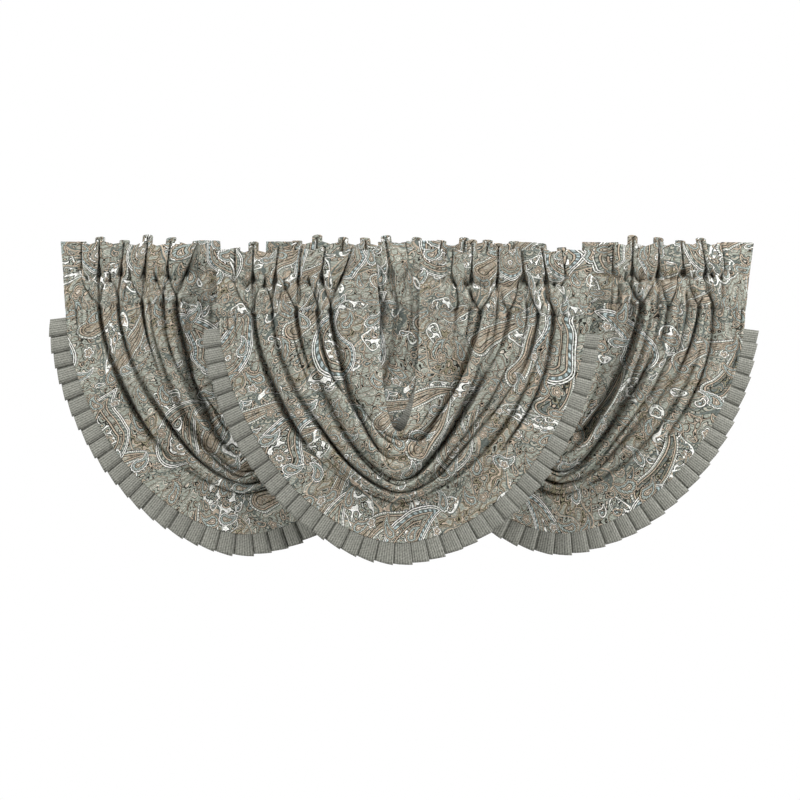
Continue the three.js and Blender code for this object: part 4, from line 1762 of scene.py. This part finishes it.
@dataclass
class Ruffle:
    """The knife-pleated trim along a swag's hem, each pleat's right edge lying over the next.

    Attributes:
        hang: Where its valance hangs.
        pleats: How many pleats.
        width: Its width at its left end, at the bottom and at its right end.
        ends: Z of its left and its right end.
        tuck: How far its sewn edge reaches in behind the hem.
        under: How far a pleat reaches in under the one before.
        over: How far a pleat laps over the one after.
        lift: How far a pleat's front edge stands out at the hem and at the outer edge.
        behind: How far behind the hem it is sewn.
        kick: How far forward its outer edge comes.
        step: How much further out a pleat's front edge reaches.
        columns: A pleat's columns: the share of its width and how far forward each one stands.
        returns: The columns back behind its front edge: the share of the step and how far forward.
        rows: Rows from the sewn edge out.
        look: How far along the hem its direction is measured to either side.
    """

    hang: Hang
    pleats: int = 39
    width: tuple[float, float, float] = (43, 53, 35)
    ends: tuple[float, float] = (-188, -206)
    tuck: float = 4
    under: float = 7
    over: float = 3.5
    lift: tuple[float, float] = (2.7, 5.7)
    behind: float = 2.4
    kick: float = 1.5
    step: float = 6
    columns: tuple[tuple[float, float], ...] = (
        (0, 0), (0.18, 0), (0.255, 0.05), (0.29, 0.5), (0.34, 0.76), (0.5, 0.86), (0.75, 0.94), (1, 1),
    )
    returns: tuple[tuple[float, float], ...] = ((0.9, 0.72), (0.4, 0.34))
    rows: int = 9
    look: float = 25

    def build(self, hem: np.ndarray, trim: bpy.types.Material) -> None:
        """Build and dress the ruffle.

        Args:
            hem: The points along the swag's hem, from left to right.
            trim: The ruffle's cloth.
        """
        grid, unrolled = self.pleat(hem)
        reach = np.linspace(0, self.width[1], grid.shape[0])
        cloth = np.stack(np.meshgrid(unrolled + self.hang.seed * 31, reach), axis=-1) * MM
        name = f"{self.hang.name}_ruffle"
        carriers = (f"{self.hang.name}_swag",)
        sheet = Sheet(f"{name}_cloth", name, "trim_cloth", self.hang, 0.9, Hold.GATHERED, carriers)
        piece = sheet.build(grid, cloth, True)
        sheet.dress(piece, grid, trim)

    def pleat(self, hem: np.ndarray) -> tuple[np.ndarray, np.ndarray]:
        """Fold the strip into pleats along the hem.

        Args:
            hem: The points along the hem.

        Returns:
            The strip's points, from the sewn edge out by along the strip, and the length of cloth up
            to each column.
        """
        line = hem[self.first_below(hem):self.last_below(hem) + 1]
        length = np.concatenate(([0], np.cumsum(np.hypot(*np.diff(line[:, [0, 2]], axis=0).T))))
        pitch = length[-1] / self.pleats
        dice = np.random.default_rng(self.hang.seed * 13)
        slope, stand = np.array(self.columns + self.returns).T
        shares = slope[:len(self.columns)]
        place, skew, longer = [], [], []
        for k in range(self.pleats):
            start = k * pitch - (self.under if k else 0)
            end = (k + 1) * pitch + (self.over if k < self.pleats - 1 else 0) + dice.uniform(-2.5, 2)
            behind = blend(end, (k + 1) * pitch - self.under, 0.6)
            place.append([*blend(start, end, shares), end - 0.4, behind])
            skew.append(dice.uniform(-1.5, 1.5))
            longer.append(dice.uniform(-1.2, 1.2))
        place = np.clip(np.ravel(place), 0, length[-1])
        skew, longer = (np.repeat(values, len(slope)) for values in (skew, longer))
        slope, stand = np.tile(slope, self.pleats), np.tile(stand, self.pleats)

        def read(shift: float) -> np.ndarray:
            """Read the hem a shift further along than each column."""
            return np.stack([np.interp(place + shift, length, line[:, k]) for k in range(3)], axis=-1)

        share = place / length[-1]
        narrow = np.where(share < 0.5, self.width[0], self.width[2])
        width = blend(narrow, self.width[1], np.sin(np.pi * share)) + (slope - 0.5) * self.step + longer
        at = read(0)
        run = (read(self.look) - read(-self.look))[:, [0, 2]]
        run /= np.linalg.norm(run, axis=1, keepdims=True)
        out = np.linspace(0, 1, self.rows)[:, None]
        reach = out * (width + self.tuck) - self.tuck
        x = at[:, 0] + reach * run[:, 1] + out * skew * run[:, 0]
        z = at[:, 2] - reach * run[:, 0] + out * skew * run[:, 1]
        lift = blend(self.lift[0], self.lift[1], out**0.7)
        y = at[:, 1] + self.behind - (stand - 0.35) * lift - self.kick * out**2
        cloth = np.concatenate(([0], np.cumsum(np.hypot(np.diff(place), np.diff(stand) * 4))))
        return np.stack((x, y, z), axis=-1), cloth

    def first_below(self, hem: np.ndarray) -> int:
        """Find where the hem first passes below the ruffle's left end."""
        return int(np.argmax(hem[:, 2] < self.ends[0]))

    def last_below(self, hem: np.ndarray) -> int:
        """Find where the hem last is below the ruffle's right end."""
        return len(hem) - 1 - int(np.argmax(hem[::-1, 2] < self.ends[1]))


@dataclass
class Valance:
    """One valance: two headings, the swag between them and its ruffle."""

    hang: Hang

    def build(self, finishes: Finishes) -> None:
        """Build and dress every piece of the valance.

        Args:
            finishes: The cloths.
        """
        seams = {side: Heading(self.hang, side).build(finishes.face) for side in Side}
        hem = Swag(self.hang).build(seams, finishes.face)
        Ruffle(self.hang).build(hem, finishes.trim)


@dataclass(frozen=True)
class Lamp:
    """A soft light that faces the set.

    Attributes:
        name: Its name.
        place: Where it hangs, metres.
        size: Its width, metres.
        power: Its power, watts.
    """

    name: str
    place: tuple[float, float, float]
    size: float
    power: float


@dataclass
class Studio:
    """The camera, the light and the floor.

    Attributes:
        frame_width: How much of the set's plane the picture takes in, metres.
        lens: The camera's lens, millimetres.
        centre: The middle of the picture, metres.
        sensor: The width of the camera's sensor, millimetres.
        floor: The floor's Z, metres.
        floor_span: How far the floor reaches aside, to the front and to the back, metres.
        ambient: The strength of the light from all round.
        lamps: The soft lights.
        neck_heights: Z of the places in the front valance's neck that narrow beams meet, metres.
        neck_from: X and Y of the beams' lamps, and how much higher they are, metres.
        neck_to: X and Y of the places that they meet, metres.
        neck_power: The power of each, watts.
        neck_angle: How wide each one opens, degrees.
        neck_softness: The radius of each one's lamp, metres.
    """

    frame_width: float = 2.0
    lens: float = 150
    centre: tuple[float, float, float] = (-0.011, -0.03, -0.395)
    sensor: float = 36
    floor: float = -1.64
    floor_span: tuple[float, float, float] = (4, -3, 1.3)
    ambient: float = 0.025
    lamps: tuple[Lamp, ...] = (
        Lamp("key", (3.1, -1.6, 1.1), 1.8, 126),
        Lamp("fill", (-3.1, -1.6, 1.1), 1.8, 108),
        Lamp("back", (0.6, 3.2, 1.2), 2.0, 55),
        Lamp("top", (0.2, -1.3, 2.8), 1.0, 44),
    )
    neck_heights: tuple[float, ...] = (-0.06, -0.15, -0.24, -0.33, -0.41)
    neck_from: tuple[float, float, float] = (-0.15, -4.2, 0.1)
    neck_to: tuple[float, float] = (-0.008, 0)
    neck_power: float = 460
    neck_angle: float = 1.7
    neck_softness: float = 0.03

    def build(self) -> None:
        """Set up the whole studio."""
        self.point_camera()
        self.lay_floor()
        self.light_world()
        for lamp in self.lamps:
            self.hang_light(lamp)
        for height in self.neck_heights:
            self.light_neck(height)
        bpy.context.scene.view_settings.view_transform = "Standard"

    def point_camera(self) -> None:
        """Point a long lens straight at the set."""
        data = bpy.data.cameras.new("camera")
        data.lens = self.lens
        data.sensor_width = self.sensor
        data.clip_end = 60
        camera = bpy.data.objects.new("camera", data)
        away = self.frame_width * self.lens / self.sensor
        camera.location = (self.centre[0], self.centre[1] - away, self.centre[2])
        camera.rotation_euler = (math.pi / 2, 0, 0)
        bpy.context.scene.collection.objects.link(camera)
        bpy.context.scene.camera = camera

    def lay_floor(self) -> None:
        """Lay the pale floor."""
        aside, front, back = self.floor_span
        outline = ((-aside, front), (aside, front), (aside, back), (-aside, back))
        corners = [(x, y, self.floor) for x, y in outline]
        mesh = bpy.data.meshes.new("floor")
        mesh.from_pydata(corners, [], [(0, 1, 2, 3)])
        floor = bpy.data.objects.new("floor", mesh)
        bpy.context.scene.collection.objects.link(floor)
        board = Board("pale_floor")
        floor.data.materials.append(
            board.finish({"Base Color": (0.86, 0.86, 0.85, 1), "Roughness": 0.8})
        )

    def light_world(self) -> None:
        """Fill the room with pale light, and show it white behind the set."""
        world = bpy.data.worlds.new("room")
        bpy.context.scene.world = world
        world.use_nodes = True
        nodes, links = world.node_tree.nodes, world.node_tree.links
        path = nodes.new("ShaderNodeLightPath")
        strength = nodes.new("ShaderNodeMapRange")
        strength.inputs["To Min"].default_value = self.ambient
        strength.inputs["To Max"].default_value = 1.0
        links.new(path.outputs["Is Camera Ray"], strength.inputs["Value"])
        shade = nodes["Background"]
        shade.inputs["Color"].default_value = (1, 1, 1, 1)
        links.new(strength.outputs[0], shade.inputs["Strength"])

    def hang_light(self, lamp: Lamp) -> None:
        """Hang a soft light that faces the set."""
        data = bpy.data.lights.new(lamp.name, "AREA")
        data.size = lamp.size
        data.energy = lamp.power
        self.aim(data, lamp.place, self.centre)

    def light_neck(self, height: float) -> None:
        """Send a narrow beam in at the front valance's neck.

        Args:
            height: Z of the place that it meets.
        """
        data = bpy.data.lights.new("neck", "SPOT")
        data.energy = self.neck_power
        data.spot_size = math.radians(self.neck_angle)
        data.spot_blend = 1
        data.shadow_soft_size = self.neck_softness
        x, y, higher = self.neck_from
        self.aim(data, (x, y, height + higher), (*self.neck_to, height))

    @staticmethod
    def aim(
        data: bpy.types.Light, place: tuple[float, float, float], target: tuple[float, float, float]
    ) -> None:
        """Hang a light so that it faces a place.

        Args:
            data: The light.
            place: Where it hangs.
            target: The place that it faces.
        """
        light = bpy.data.objects.new(data.name, data)
        light.location = place
        facing = np.array(target) - np.array(place)
        facing = facing / np.linalg.norm(facing)
        light.rotation_euler = (math.acos(-facing[2]), 0, math.atan2(-facing[0], facing[1]))
        bpy.context.scene.collection.objects.link(light)


def main() -> None:
    """Build the set in order."""
    logging.basicConfig(level=logging.INFO, format="%(name)s: %(message)s")
    finishes = Finishes(face=PaisleyCloth().material(), trim=RibbedTrim().material())
    for hang in HANGS:
        Valance(hang).build(finishes)
    Studio().build()


if __name__ == "__main__":
    main()
